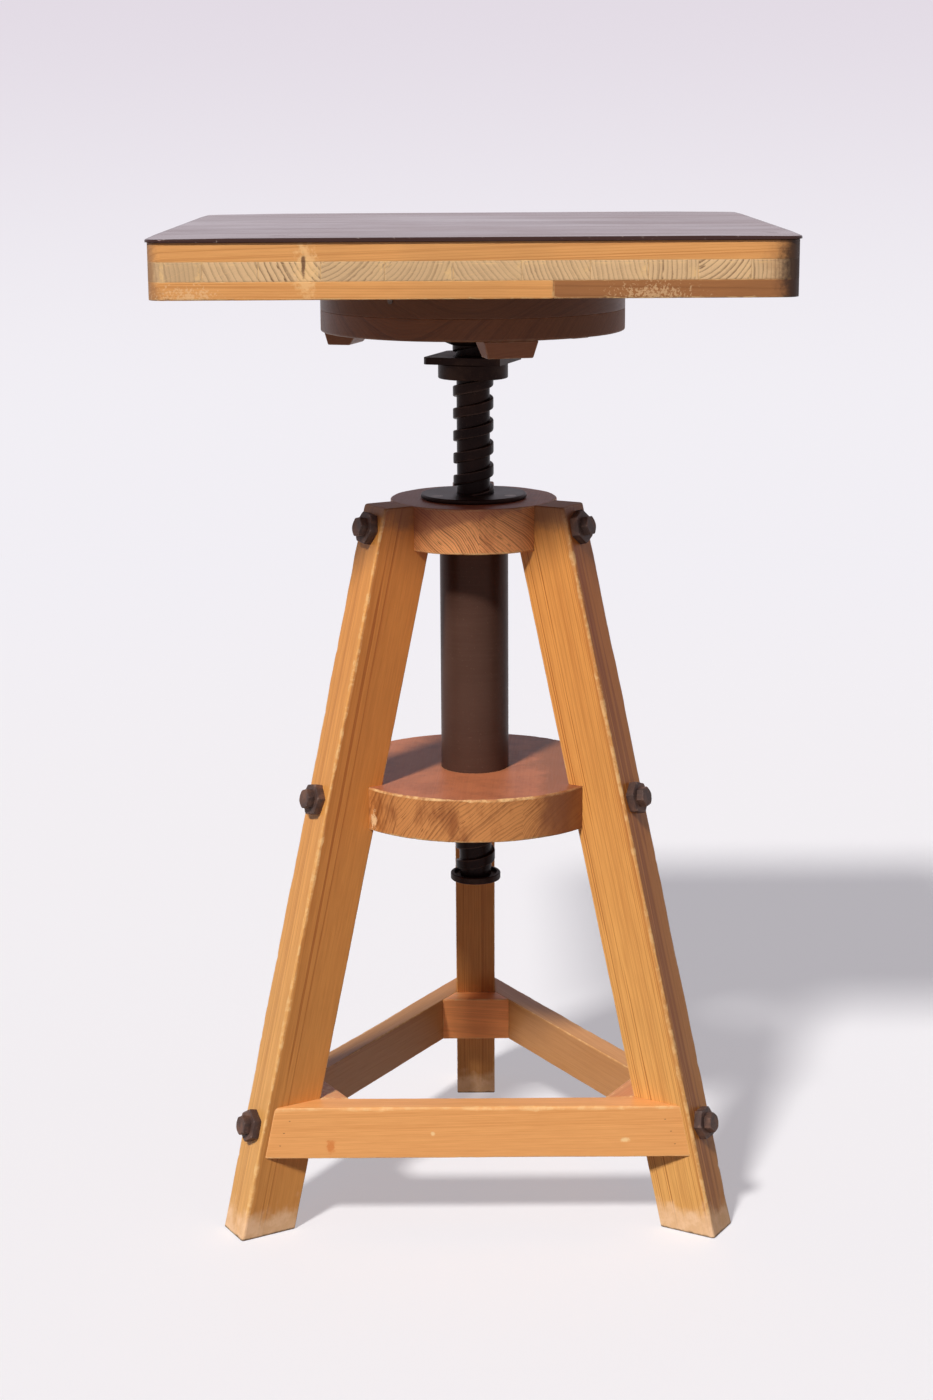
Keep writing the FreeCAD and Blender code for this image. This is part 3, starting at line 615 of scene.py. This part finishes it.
def buildRails():
    half = max(abs(p.y) for p in pointsOf("leg_left", 210))
    apex = half / math.sin(math.radians(60))
    slope = math.tan(math.radians(60))
    for side, azimuth in rails["azimuths"].items():
        node = "rail_" + side
        points = pointsOf(node, azimuth)
        low, high = min(p.z for p in points), max(p.z for p in points)
        outer, wide, inner, wideIn = levelQuad(points, low)
        innerTop = min(p.x for p in points if p.z > high - 0.0003)
        lean = innerTop - inner
        turn = turnedBy(azimuth)
        section = [(outer, low), (inner, low), (inner + lean, high), (outer + lean, high)]

        def cornersAt(t):
            return [turn @ Vector((x, (2 * t - 1) * (x - apex) * slope, z)) for x, z in section]

        grain = turn @ Vector((0.01, 1, 0.012))
        pith = turn @ Vector((outer - 0.05, 0, low - 0.045))
        marks = railMarks if side == "front" else []
        roundMarks = [{**mark, "at": (mark["at"][0], 0.001 - outer, mark["at"][1])} for mark in marks]
        look = {**rails["look"], "early": toned(rails["early"], rails["tones"][side]),
                "late": toned(rails["late"], rails["tones"][side])}
        barPiece("rail" + side.title(), cornersAt, 2 * wide, rails["edges"], rails["endEase"],
                 wood("railPine" + side.title(), grain, pith, look, roundMarks=roundMarks), "stand",
                 [node], seed=azimuth * 0.21 + 3, chips=rails["chips"], stations=110)


blocks = {"edge": 0.0006, "endEase": 0.0007, "early": (0.80, 0.315, 0.110),
          "tones": {"rear": 1.3, "left": 0.85, "right": 0.85},
          "look": {"spacing": 0.0040, "line": 0.5, "late": (0.55, 0.17, 0.04)}}


# four level corners, given as outer x and half width, inner x and half width, turned to their azimuth
def quadCorners(lowQuad, highQuad, t, z, turn):
    outer, wideOut, inner, wideIn = [a + (b - a) * t for a, b in zip(lowQuad, highQuad)]
    flat = ((outer, -wideOut), (outer, wideOut), (inner, wideIn), (inner, -wideIn))
    return [turn @ Vector((x, y, z)) for x, y in flat]


def buildBlocks():
    for side, azimuth in legs["azimuths"].items():
        node = "corner_block_" + side
        points = pointsOf(node, azimuth)
        low, high = min(p.z for p in points), max(p.z for p in points)
        lowQuad, highQuad = levelQuad(points, low), levelQuad(points, high)
        turn = turnedBy(azimuth)

        def cornersAt(t):
            return quadCorners(lowQuad, highQuad, t, low + (high - low) * t, turn)

        look = {**blocks["look"], "early": toned(blocks["early"], blocks["tones"][side])}
        finish = wood("block" + side.title(), turn @ Vector((0.02, 1, 0.03)), turn @ Vector((0.05, 0, 0.02)),
                      look)
        barPiece("cornerBlock" + side.title(), cornersAt, high - low, [blocks["edge"]] * 4, blocks["endEase"],
                 finish, "stand", [node], seed=azimuth, stations=14)


# hub, lower disc and the two layers under the board, all turned on a lathe
redStain = {"share": 0.92, "light": (0.48, 0.160, 0.072), "dark": (0.22, 0.068, 0.034)}
hub = {"edge": 0.0016, "chips": 0.0014, "grain": (0.10, 1.0, 0.02), "pith": (-0.100, 0.0, 0.400),
       "look": {"spacing": 0.0016, "line": 1.0, "steady": 0.7, "early": (0.98, 0.42, 0.150),
                "late": (0.26, 0.070, 0.022), "drift": 0.02, "uneven": 1.2, "endShare": 0.9,
                "endEarly": (0.98, 0.43, 0.155), "endLate": (0.24, 0.080, 0.024),
                "strips": {"start": 0.0485, "wide": 0.052, "seed": 3.0, "spread": (0.04, 0.0, 0.12),
                           "tint": (0.72, 0.62, 0.55), "blot": 42, "share": 0.55,
                           "stain": (0.55, 0.42, 0.38)}},
       # the hub's colour darkens towards its top edge
       "grime": {"way": (-0.25, 0, 1), "reach": 0.020, "share": 0.65, "scale": 60,
                 "colour": (0.30, 0.085, 0.045)}}
lowerDisc = {"edge": 0.0018, "chips": 0.0040, "grain": (0.08, 1.0, 0.02), "pith": (0.095, 0.0, 0.225),
             "look": {"spacing": 0.0027, "line": 0.85, "steady": 0.5, "early": (0.62, 0.250, 0.072),
                      "late": (0.22, 0.066, 0.016), "uneven": 1.4, "drift": 0.02, "endShare": 0.9,
                      "endEarly": (0.64, 0.265, 0.080), "endLate": (0.20, 0.062, 0.017),
                      "strips": {"start": 0.012, "wide": 0.046, "seed": 7.0, "spread": (0.12, 0.0, 0.12),
                                 "tint": (0.70, 0.60, 0.48), "blot": 34, "share": 0.8,
                                 "stain": (0.46, 0.32, 0.26)}},
             # the disc's colour darkens towards its right side
             "grime": {"from": (0.02, 0, 0.3), "way": (1, 0, 0), "reach": 0.05, "share": 0.75, "scale": 38,
                       "colour": (0.24, 0.082, 0.030)},
             "tubeShadow": {"squeeze": (1, 1, 2), "ragged": 0.003, "size": 0.0300, "share": 0.75,
                            "colour": (0.05, 0.022, 0.014)},
             "chipped": {"squeeze": (1.6, 0.5, 0.7), "ragged": 0.016, "size": 0.0050, "share": 0.75,
                         "colour": (0.95, 0.66, 0.36)}}
seatDisc = {"edge": 0.0016, "chips": 0.0012,
            "look": {"spacing": 0.0026, "line": 0.8, "early": (0.165, 0.064, 0.023),
                     "late": (0.080, 0.027, 0.010), "worn": 0.35, "raw": (0.34, 0.19, 0.11), "rough": 0.40,
                     "endEarly": (0.175, 0.072, 0.029), "endLate": (0.09, 0.032, 0.013)},
            "lowerLook": {"early": (0.215, 0.078, 0.024), "late": (0.11, 0.034, 0.010)}}


def boreOf(node):
    return min(math.hypot(v.co.x, v.co.y) for v in nodes[node].data.vertices)


def buildTurnery():
    low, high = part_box("hub_disc")
    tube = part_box("guide_tube")[1].x + 0.0001
    finish = wood("hubWood", hub["grain"], hub["pith"], hub["look"], stain=redStain,
                  darkenedTowards=[{**hub["grime"], "from": (0.01, 0, high.z - 0.018)}])
    outline = [(high.x, low.z, hub["edge"]), (high.x, high.z, hub["edge"]), (tube, high.z, 0.0002),
               (tube, low.z, 0.0002)]
    turnedPiece("hubDisc", outline, finish, "stand", ["hub_disc"], seed=4.0, chips=hub["chips"])

    low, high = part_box("lower_disc")
    edge = lowerDisc["edge"]
    finish = wood("lowerDiscWood", lowerDisc["grain"], lowerDisc["pith"], lowerDisc["look"], stain=redStain,
                  roundMarks=[{**lowerDisc["tubeShadow"], "at": (0, 0, high.z)},
                         {**lowerDisc["chipped"], "at": (-0.0745, -0.0700, high.z - 0.024)}],
                  darkenedTowards=[lowerDisc["grime"]])
    outline = [(high.x, low.z, edge * 0.8), (high.x, high.z, edge), (tube, high.z, 0.0003),
               (tube, low.z, 0.0003)]
    turnedPiece("lowerDisc", outline, finish, "stand", ["lower_disc"], seed=9.0,
                chips=lowerDisc["chips"], around=300)

    for layer, look, grain, pith, edges in (
            ("upper", {}, (0.45, 0.89, 0.02), (0.02, -0.05, 0.75), (0.0004, seatDisc["edge"])),
            ("lower", seatDisc["lowerLook"], (0.90, -0.42, 0.03), (0.05, 0.03, 0.60),
             (seatDisc["edge"], 0.0004))):
        node = "disc_%s_layer" % layer
        name = "seatDisc" + layer.title()
        low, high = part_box(node)
        bore = boreOf(node)
        outline = [(high.x, low.z, edges[0]), (high.x, high.z, edges[1]), (bore, high.z, 0.0002),
                   (bore, low.z, 0.0002)]
        finish = wood(name + "Stain", grain, pith, {**seatDisc["look"], **look})
        turnedPiece(name, outline, finish, "seat", [node], seed=pith[0] * 90,
                    chips=seatDisc["chips"], around=260)


wedges = {"azimuths": {1: 284, 2: 44, 3: 164}, "edge": 0.0007,
          "look": {"spacing": 0.0030, "line": 0.5, "early": (0.32, 0.120, 0.048),
                   "late": (0.18, 0.060, 0.024), "raw": (0.50, 0.30, 0.18), "worn": 0.5}}


def buildWedges():
    for number, azimuth in wedges["azimuths"].items():
        node = "wedge_block_%d" % number
        low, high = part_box(node)
        points = pointsOf(node, azimuth)
        lowQuad, highQuad = levelQuad(points, low.z), levelQuad(points, high.z)
        turn = turnedBy(azimuth)

        def cornersAt(t):
            return quadCorners(lowQuad, highQuad, t, low.z + (high.z - low.z) * t, turn)

        pith = (low + high) / 2 + Vector((0.02, 0.03, -0.05))
        finish = wood("wedgeWood%d" % number, turn @ Vector((0.1, 1, 0.05)), pith, wedges["look"])
        barPiece("wedge%d" % number, cornersAt, high.z - low.z, [wedges["edge"]] * 4, wedges["edge"], finish,
                 "seat", [node], seed=number * 5.0, stations=8)


board = {"corner": 0.011, "chips": 0.0036, "bottomEdge": 0.0009, "seam": 0.00012, "topEdge": 0.0002,
         "early": (0.84, 0.405, 0.130), "tones": [1.0, 0.95, 1.03, 0.93, 1.0],
         "plank": {"late": (0.52, 0.180, 0.035), "spacing": 0.0042, "line": 0.70,
                   "endEarly": (0.56, 0.30, 0.12), "endLate": (0.34, 0.13, 0.05), "rough": 0.4},
         "darkPiece": {"early": (0.38, 0.155, 0.050), "late": (0.22, 0.080, 0.022)},
         "core": {"early": (0.62, 0.38, 0.18), "late": (0.30, 0.135, 0.050), "drift": 0.004, "steady": 0.75,
                  "uneven": 0.6, "endShare": 1.0, "endLate": (0.15, 0.066, 0.026), "rough": 0.55},
         "coreEnd": (0.76, 0.505, 0.270),
         "topAxes": [(1, 0.015, 0.022), (1, -0.01, 0.02), (1, 0.02, -0.015), (1, -0.018, -0.02)],
         "bottomAxes": [(1, 0.012, -0.016), (1, 0.02, 0.012), (1, -0.02, 0.018), (1, 0.01, 0.02),
                        (1, -0.015, -0.02)],
         # slope of the rings on the front edge in degrees, distance to the pith, ring spacing, strength, tone
         "strips": [(96, 0.10, 0.0030, 0.35, 0.86), (-62, 0.085, 0.0038, 0.55, 1.0),
                    (-58, 0.060, 0.0036, 0.95, 1.05), (38, 0.052, 0.0030, 0.62, 0.92),
                    (58, 0.045, 0.0030, 0.50, 0.90), (-50, 0.080, 0.0030, 0.45, 0.93),
                    (-66, 0.075, 0.0028, 0.62, 0.98), (-76, 0.070, 0.0030, 0.52, 1.0),
                    (86, 0.060, 0.0030, 0.75, 1.0), (42, 0.040, 0.0032, 0.95, 1.04),
                    (88, 0.060, 0.0026, 0.65, 0.95)]}
boardMarksAndCornerShade = [{"at": (-0.108, -0.21, 0.7165), "squeeze": (1.25, 0.4, 0.50), "ragged": 0.024, "size": 0.0110,
               "share": 0.60, "colour": (0.98, 0.62, 0.28)},
              {"at": (0.115, -0.21, 0.7000), "squeeze": (0.30, 0.4, 0.9), "ragged": 0.050, "size": 0.0042,
               "share": 0.42, "grain": 520, "colour": (0.95, 0.66, 0.36)},
              {"at": (-0.185, -0.21, 0.6990), "squeeze": (0.35, 0.4, 1.0), "ragged": 0.050, "size": 0.0042,
               "share": 0.42, "grain": 520, "colour": (0.95, 0.66, 0.36)},
              # painted shade: the near-black patch on the rounded front right corner, which turns from the
              # light
              {"at": (0.2110, -0.2060, 0.7130), "squeeze": (1, 0.7, 0.35), "ragged": 0.012, "size": 0.0205,
               "share": 0.92, "colour": (0.030, 0.014, 0.009)},
              {"at": (-0.1090, -0.21, 0.7190), "squeeze": (3.0, 0.4, 0.62), "ragged": 0.009, "size": 0.0058,
               "share": 0.85, "colour": (0.12, 0.045, 0.020)}]
# the first darkens the right end of the board, partly grime and partly painted shade where the end turns from
# the light; the second darkens the left end with grime
boardGrimeAndShade = [{"from": (0.150, 0, 0), "way": (1, 0, 0), "reach": 0.08, "share": 0.45, "scale": 60,
               "colour": (0.34, 0.14, 0.05)},
              {"from": (-0.190, 0, 0), "way": (-1, 0, 0), "reach": 0.022, "share": 0.55, "scale": 70,
               "colour": (0.20, 0.095, 0.050)}]


# how far the board's rounded corner draws a plank's end in at this distance from the middle
def cornerDrop(place, half):
    over = abs(place) - (half - board["corner"])
    return board["corner"] - math.sqrt(max(board["corner"] ** 2 - over ** 2, 0.0)) if over > 0 else 0.0


def buildBoard():
    edge = -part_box("top_plank_1")[0].x
    for layer, axes in (("top", board["topAxes"]), ("bottom", board["bottomAxes"])):
        names = [n for n in sorted(nodes) if n.startswith(layer + "_plank")]
        for number, node in enumerate(names):
            low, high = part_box(node)
            front, back = low.y < -edge + 0.001, high.y > edge - 0.001

            def cornersAt(t):
                x = low.x + (high.x - low.x) * t
                drop = cornerDrop(x, edge)
                y0 = low.y + (drop if front else 0)
                y1 = high.y - (drop if back else 0)
                return [Vector((x, y0, low.z)), Vector((x, y1, low.z)), Vector((x, y1, high.z)),
                        Vector((x, y0, high.z))]

            bottom = layer == "bottom"
            seam, outer = board["seam"], board["bottomEdge"] if bottom else board["topEdge"]
            edges = [outer if front else seam, outer if back else seam, seam,
                     board["topEdge"] if front else seam]
            bites = board["chips"] if bottom else 0.0
            pithZ = low.z - 0.030 if number % 2 else high.z + 0.055
            pith = (0.0, (low.y + high.y) / 2 + 0.012 * (number - 1), pithZ)
            look = {**board["plank"], "early": toned(board["early"], board["tones"][number])}
            if node == "bottom_plank_1_right":
                look = {**look, **board["darkPiece"]}
            name = "board" + node.title().replace("_", "")
            barPiece(name, cornersAt, high.x - low.x, edges, 0.0006 if bottom else 0.0003,
                     wood(name, axes[number], pith, look, darkenedTowards=boardGrimeAndShade, roundMarks=boardMarksAndCornerShade), "seat",
                     [node], seed=number * 4.0 + 1,
                     chips=[bites if front else 0, bites if back else 0, 0, 0],
                     stations=150 if front or back else 40, tightEnds=board["corner"] + 0.0005)
    for number, (slope, far, spacing, strength, tone) in enumerate(board["strips"], 1):
        node = "core_strip_%02d" % number
        low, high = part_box(node)
        leftEnd, rightEnd = low.x < -edge + 0.001, high.x > edge - 0.001

        def cornersAt(t):
            y = low.y + (high.y - low.y) * t
            drop = cornerDrop(y, edge)
            x0 = low.x + (drop if leftEnd else 0)
            x1 = high.x - (drop if rightEnd else 0)
            return [Vector((x1, y, low.z)), Vector((x0, y, low.z)), Vector((x0, y, high.z)),
                    Vector((x1, y, high.z))]

        turn = math.radians(slope + 90)
        middle = (low + high) / 2
        pith = (middle.x + far * math.cos(turn), 0, middle.z + far * math.sin(turn))
        look = {**board["core"], "spacing": spacing, "line": strength,
                "endEarly": toned(board["coreEnd"], tone)}
        finish = wood("coreStrip%02dEnd" % number, (0, 1, 0.01), pith, look, darkenedTowards=boardGrimeAndShade,
                      roundMarks=boardMarksAndCornerShade)
        barPiece("coreStrip%02d" % number, cornersAt, high.y - low.y, [0.0001] * 4, 0.0002, finish, "seat",
                 [node], seed=number * 2.0, stations=6, tightEnds=board["corner"] + 0.0005)


covering = {"round": 0.0011, "dimples": [(-0.1300, -0.1700), (0.0655, -0.1700), (0.1300, -0.1700),
                                         (0.1945, -0.1700)],
            "dimpleSize": 0.008, "dimpleDepth": 0.0006, "wave": 0.00045, "droop": 0.0006,
            "dull": (0.115, 0.052, 0.042), "warm": (0.165, 0.082, 0.067), "rubs": (0.20, 0.125, 0.105),
            "rim": (0.030, 0.015, 0.013), "chips": (0.62, 0.50, 0.44), "specks": (0.32, 0.22, 0.19),
            "rings": [0.0022, 0.004, 0.007, 0.011, 0.016, 0.022, 0.029, 0.037, 0.046, 0.056, 0.068, 0.082,
                      0.098, 0.116, 0.136, 0.158, 0.182, 0.204]}


def roundedSquare(half, radius, perSide=46, perCorner=10):
    points = []
    flat = half - radius
    for quarter in range(4):
        turn = turnedBy(90 * quarter)
        for k in range(perSide):
            points.append(turn @ Vector((half, -flat + 2 * flat * k / perSide, 0)))
        for k in range(perCorner):
            a = math.pi / 2 * k / perCorner
            points.append(turn @ Vector((flat + radius * math.cos(a), flat + radius * math.sin(a), 0)))
    return points


def coveringFinish():
    f = newFinish("darkCovering")
    place = f.place()
    patch = f.cloud(place, 7, 4, 0.6)
    fine = f.cloud(place, 420, 3, 0.6)
    smear = f.cloud(f.vector("MULTIPLY", place, (0.35, 1.6, 1)), 12, 3, 0.55)
    colour = f.mix(f.step(patch, 0.35, 0.7) * 0.6, covering["dull"], covering["warm"])
    rubs = f.cloud(f.vector("MULTIPLY", place, (0.8, 12, 1)), 30, 4, 0.7)
    colour = f.mix(f.step(rubs, 0.60, 0.72) * 0.30, colour, covering["rubs"])
    edgeOut = f.worn()
    colour = f.mix(edgeOut * 0.8, colour, covering["rim"])
    chips = f.step(edgeOut * (0.25 + f.cloud(place, 330, 3, 0.7)), 0.90, 0.98)
    colour = f.mix(chips, colour, covering["chips"])
    specks = f.step(f.cloud(place, 260, 2, 0.5), 0.72, 0.77)
    colour = f.mix(specks * 0.35, colour, covering["specks"])
    rough = 0.20 + (smear - 0.5) * 0.24 + (patch - 0.5) * 0.16
    return f.close({"Base Color": colour, "Roughness": rough, "Specular IOR Level": 0.20,
                    "Specular Tint": (1.0, 0.70, 0.70, 1.0)}, fine * 0.3 + patch * 0.8, 0.10, 0.0005)


def buildCovering():
    low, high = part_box("top_sheet")
    half, thick = high.x, high.z - low.z
    corner = board["corner"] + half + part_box("top_plank_1")[0].x
    ease = covering["round"]
    points, worn, count = [], [], 0
    profile = [(0.0022, 0.0, 1), (0.0, 0.0004, 1), (0.0, thick - ease, 1)]
    profile += [(ease * (1 - math.cos(a)), thick - ease * (1 - math.sin(a)), 1) for a in (0.5, 1.0,
                                                                                          math.pi / 2)]
    profile += [(d, thick, 0) for d in covering["rings"]]
    for inset, level, rim in profile:
        loop = roundedSquare(half - inset, max(corner - inset, 0.0015))
        count = len(loop)
        for p in loop:
            z = level
            if inset > 0.001:
                inward = min(inset / 0.02, 1.0)
                z -= covering["wave"] * inward * (0.5 + 0.5 * wobble(p.x * 9, p.y * 9, 3.3))
                for x, y in covering["dimples"]:
                    near = math.hypot(p.x - x, p.y - y) / covering["dimpleSize"]
                    z -= covering["dimpleDepth"] * math.exp(-near * near * 2.5)
            if level > ease:
                reach = max(abs(p.x), abs(p.y)) / half
                diagonal = min(abs(p.x), abs(p.y)) / half
                z -= covering["droop"] * max(0.0, reach + diagonal - 1.72) / 0.28
            points.append(Vector((p.x, p.y, low.z + z)))
            worn.append(float(rim))
    makePiece("topCovering", points, loftFaces(len(profile), count, False), worn, coveringFinish(), "seat",
              ["top_sheet"], sharp=50)


# the solids of a CAD node, each as its own list of points, in the order of the mesh
def solidsOf(node):
    mesh = bmesh.new()
    mesh.from_mesh(nodes[node].data)
    bmesh.ops.remove_doubles(mesh, verts=mesh.verts, dist=1e-6)
    mesh.verts.ensure_lookup_table()
    seen, groups = set(), []
    for first in mesh.verts:
        if first in seen:
            continue
        seen.add(first)
        stack, group = [first], []
        while stack:
            vert = stack.pop()
            group.append(vert.co.copy())
            for link in vert.link_edges:
                other = link.other_vert(vert)
                if other not in seen:
                    seen.add(other)
                    stack.append(other)
        groups.append(group)
    mesh.free()
    return groups


hexes = {"hex_washers_": {"name": "washers", "depth": 0.0060, "chamfer": 0.0006, "cone": 1.11},
         "bolts_": {"name": "boltHeads", "depth": 0.0055, "chamfer": 0.0009, "cone": 1.09}}
hexPits = 0.00012


# a six-sided head or washer about its own axis, its upper corners turned off in a cone
def hexLoops(origin, axis, start, flats, top, kind, seed):
    side = start.cross(axis).normalized()
    shape = hexes[kind]
    bottom = top - shape["depth"]
    chamfer = shape["chamfer"]
    points, worn = [], []
    steps = [(bottom, 0.985, 9, 0.5), (bottom + 0.0004, 1.0, 9, 0.3),
             (bottom + shape["depth"] * 0.5, 1.0, 9, 0.1), (top - chamfer, 1.0, 9, 0.6),
             (top - chamfer * 0.35, 1.0, shape["cone"], 1.0), (top, 0.97, 1.0, 0.9), (top, 0.90, 1.0, 0.1),
             (top - 0.0002, 0.45, 1.0, 0.0), (top - 0.0001, 0.1, 1.0, 0.0)]
    for height, share, cone, mark in steps:
        for k in range(48):
            angle = math.tau * k / 48
            fold = (angle + math.pi / 6) % (math.pi / 3) - math.pi / 6
            reach = min(flats / 2 / math.cos(fold), flats / 2 * cone)
            spot = origin + axis * height + (start * math.cos(angle) + side * math.sin(angle)) * reach * share
            spot -= axis * hexPits * abs(wobble(spot.x * 420 + seed, spot.y * 420, spot.z * 420))
            points.append(spot)
            worn.append(mark * (0.6 + 0.4 * (abs(fold) > 0.45)))
    return points, worn


def legRake():
    points = pointsOf("leg_rear", 90)
    high = max(p.z for p in points)
    foot = max(p.x for p in points if p.z < 0.001)
    top = max(p.x for p in points if p.z > high - 0.001)
    return (foot - top) / high


# square out of the raked face of the leg or rail that lies nearest to an azimuth
def outwards(pieces, azimuth):
    nearest = min(pieces["azimuths"].values(), key=lambda a: abs((a - azimuth + 180) % 360 - 180))
    lean = math.atan(legRake())
    return turnedBy(nearest) @ Vector((math.cos(lean), 0, math.sin(lean)))


def buildBolts():
    for level in ("upper", "middle", "lower"):
        for kind, shape in hexes.items():
            points, worn, faces = [], [], []
            for number, solid in enumerate(solidsOf(kind + level)):
                centre = sum(solid, Vector()) / len(solid)
                azimuth = math.degrees(math.atan2(centre.y, centre.x))
                out = outwards(legs, azimuth)
                reach = [p.dot(out) for p in solid]
                top = max(reach)
                radial = [p - out * p.dot(out) for p in solid]
                crown = [r for r, d in zip(radial, reach) if d > top - 0.0004]
                middle = sum(crown, Vector()) / len(crown)
                tip = max(crown, key=lambda r: (r - middle).length)
                start = (tip - middle).normalized()
                start = Matrix.Rotation(math.pi / 6, 3, out) @ start
                flats = 2 * (tip - middle).length * math.cos(math.pi / 6)
                ring, marks = hexLoops(middle, out, start, flats, top, kind, number * 3.7 + len(points))
                base = len(points)
                points += ring
                worn += marks
                faces += [tuple(base + i for i in face) for face in loftFaces(len(ring) // 48, 48, False)]
            makePiece(shape["name"] + level.title(), points, faces, worn, rustFinish, "stand",
                      [kind + level], sharp=38)


# height above the head's top and radius, from the shank outwards
nailHead = [(-0.004, 0.0006), (-0.0009, 0.0009), (-0.00005, 0.0010), (0.00008, 0.0008), (0.00010, 0.0003)]


def buildNails():
    points, worn, faces = [], [], []
    for solid in solidsOf("rail_nails"):
        centre = sum(solid, Vector()) / len(solid)
        azimuth = math.degrees(math.atan2(centre.y, centre.x))
        out = outwards(rails, azimuth)
        top = max(p.dot(out) for p in solid)
        crown = [p for p in solid if p.dot(out) > top - 0.0003]
        corners = [Vector([pick(p[i] for p in crown) for i in range(3)]) for pick in (min, max)]
        middle = (corners[0] + corners[1]) / 2
        side = out.orthogonal().normalized()
        other = out.cross(side)
        base = len(points)
        for height, radius in nailHead:
            for k in range(20):
                a = math.tau * k / 20
                points.append(middle + out * height + (side * math.cos(a) + other * math.sin(a)) * radius)
                worn.append(0.0)
        faces += [tuple(base + i for i in face) for face in loftFaces(len(nailHead), 20, False)]
    makePiece("railNailHeads", points, faces, worn, nailFinish, "stand", ["rail_nails"])


screwThread = {"start": 0.2537, "top": 0.6497, "pitch": 0.0164, "core": 0.0122, "crest": 0.0149,
               "width": 0.0078, "phase": 149, "ease": 0.0008, "steps": 60, "neck": 0.0118, "tail": 0.0080,
               "tailBottom": 0.2459, "neckBottom": 0.2475, "journalTop": 0.6768}


# the square thread wound up as one long strip, the corners of its crest rubbed round; their worn weights make
# them lighter, partly rubbed metal and partly a painted highlight
def buildSpindle():
    t = screwThread
    half, wide, ease = t["pitch"] / 2, t["width"] / 2, t["ease"]
    core, crest = t["core"], t["crest"]
    rising = [(-half, core, 0.0), (-wide - 0.0003, core, 0.0), (-wide, core + 0.0003, 0.0),
              (-wide, crest - ease, 0.2), (-wide + ease * 0.3, crest - ease * 0.3, 1.0),
              (-wide + ease, crest, 0.9), (-wide + ease + 0.0008, crest, 0.35), (0.0, crest, 0.3)]
    strip = rising + [(-s, r, w) for s, r, w in reversed(rising[1:-1])]
    per, steps = len(strip), t["steps"]
    turns = (t["top"] - t["start"]) / t["pitch"]
    rows = int((turns + 1) * steps) + 2
    points, worn, faces = [], [], []
    for row in range(rows + steps):
        turn = row / steps - 0.55
        angle = math.radians(t["phase"]) + math.tau * turn
        for s, r, w in strip:
            dent = 0.00025 * max(0.0, wobble(row * 0.21, s * 900, 1.7)) * w
            height = t["start"] + t["pitch"] * turn + s
            points.append(Vector(((r - dent) * math.cos(angle), (r - dent) * math.sin(angle), height)))
            worn.append(w)
    for row in range(rows - 1):
        for k in range(per):
            nextOver = (row * per + k + 1, (row + 1) * per + k + 1)
            if k == per - 1:
                nextOver = ((row + steps) * per, (row + 1 + steps) * per)
            faces.append((row * per + k, (row + 1) * per + k, nextOver[1], nextOver[0]))
    mesh = bpy.data.meshes.new("screwSpindle")
    mesh.from_pydata([tuple(p) for p in points], [], faces)
    mesh.attributes.new("worn", "FLOAT", "POINT").data.foreach_set("value", worn)
    work = bmesh.new()
    work.from_mesh(mesh)
    bmesh.ops.delete(work, geom=[v for v in work.verts if not v.link_faces], context="VERTS")
    for height, way in ((t["start"], -1), (t["top"], 1)):
        everything = work.verts[:] + work.edges[:] + work.faces[:]
        bmesh.ops.bisect_plane(work, geom=everything, plane_co=(0, 0, height), plane_no=(0, 0, way),
                               clear_outer=True)
        rim = [e for e in work.edges if e.is_boundary and all(abs(v.co.z - height) < 1e-6 for v in e.verts)]
        bmesh.ops.contextual_create(work, geom=rim)
    shells = [[(t["tail"], t["tailBottom"]), (t["tail"], t["neckBottom"] + 0.0001)],
              [(t["neck"], t["neckBottom"]), (t["neck"], t["start"] + 0.0002)],
              [(t["neck"], t["top"] - 0.0002), (t["neck"], t["journalTop"])]]
    for shell in shells:
        corners = [work.verts.new(p) for p in ringPoints(shell, 72)]
        for face in loftFaces(2, 72, False):
            work.faces.new([corners[i] for i in face])
    bmesh.ops.recalc_face_normals(work, faces=work.faces)
    work.to_mesh(mesh)
    work.free()
    mesh.shade_smooth()
    mesh.set_sharp_from_angle(angle=math.radians(40))
    piece = bpy.data.objects.new("screwSpindle", mesh)
    bpy.context.scene.collection.objects.link(piece)
    mesh.materials.append(metal("screwIron", screwIron))
    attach(piece, "seat")
    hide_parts("spindle")


rustFinish = metal("rustySteel", rust)
nailFinish = metal("nailSteel", nailSteel)
buildLegs()
buildRails()
buildBlocks()
print("legs, rails and corner blocks made")
buildTurnery()
buildWedges()
print("turned discs and wedges made")
buildBoard()
buildCovering()
print("board and covering made")
buildBolts()
buildNails()
buildSpindle()
print("bolts, nails and spindle made")


def dress(names, material):
    for name in names:
        mesh = nodes[name].data
        mesh.materials.clear()
        mesh.materials.append(material)


blackIron = metal("blackIron", iron)
dress(["flanged_nut", "spindle_flange", "stop_collar"], blackIron)
dress(["lock_nut", "lock_collar"], metal("lockIron", lockIron))
dress(["guide_tube"], metal("bronzedTube", bronze))
dress(["end_screw", "nut_screws", "flange_screws", "seat_screws", "disc_edge_nail"],
      metal("screwSteel", steel))
print("metal parts finished")
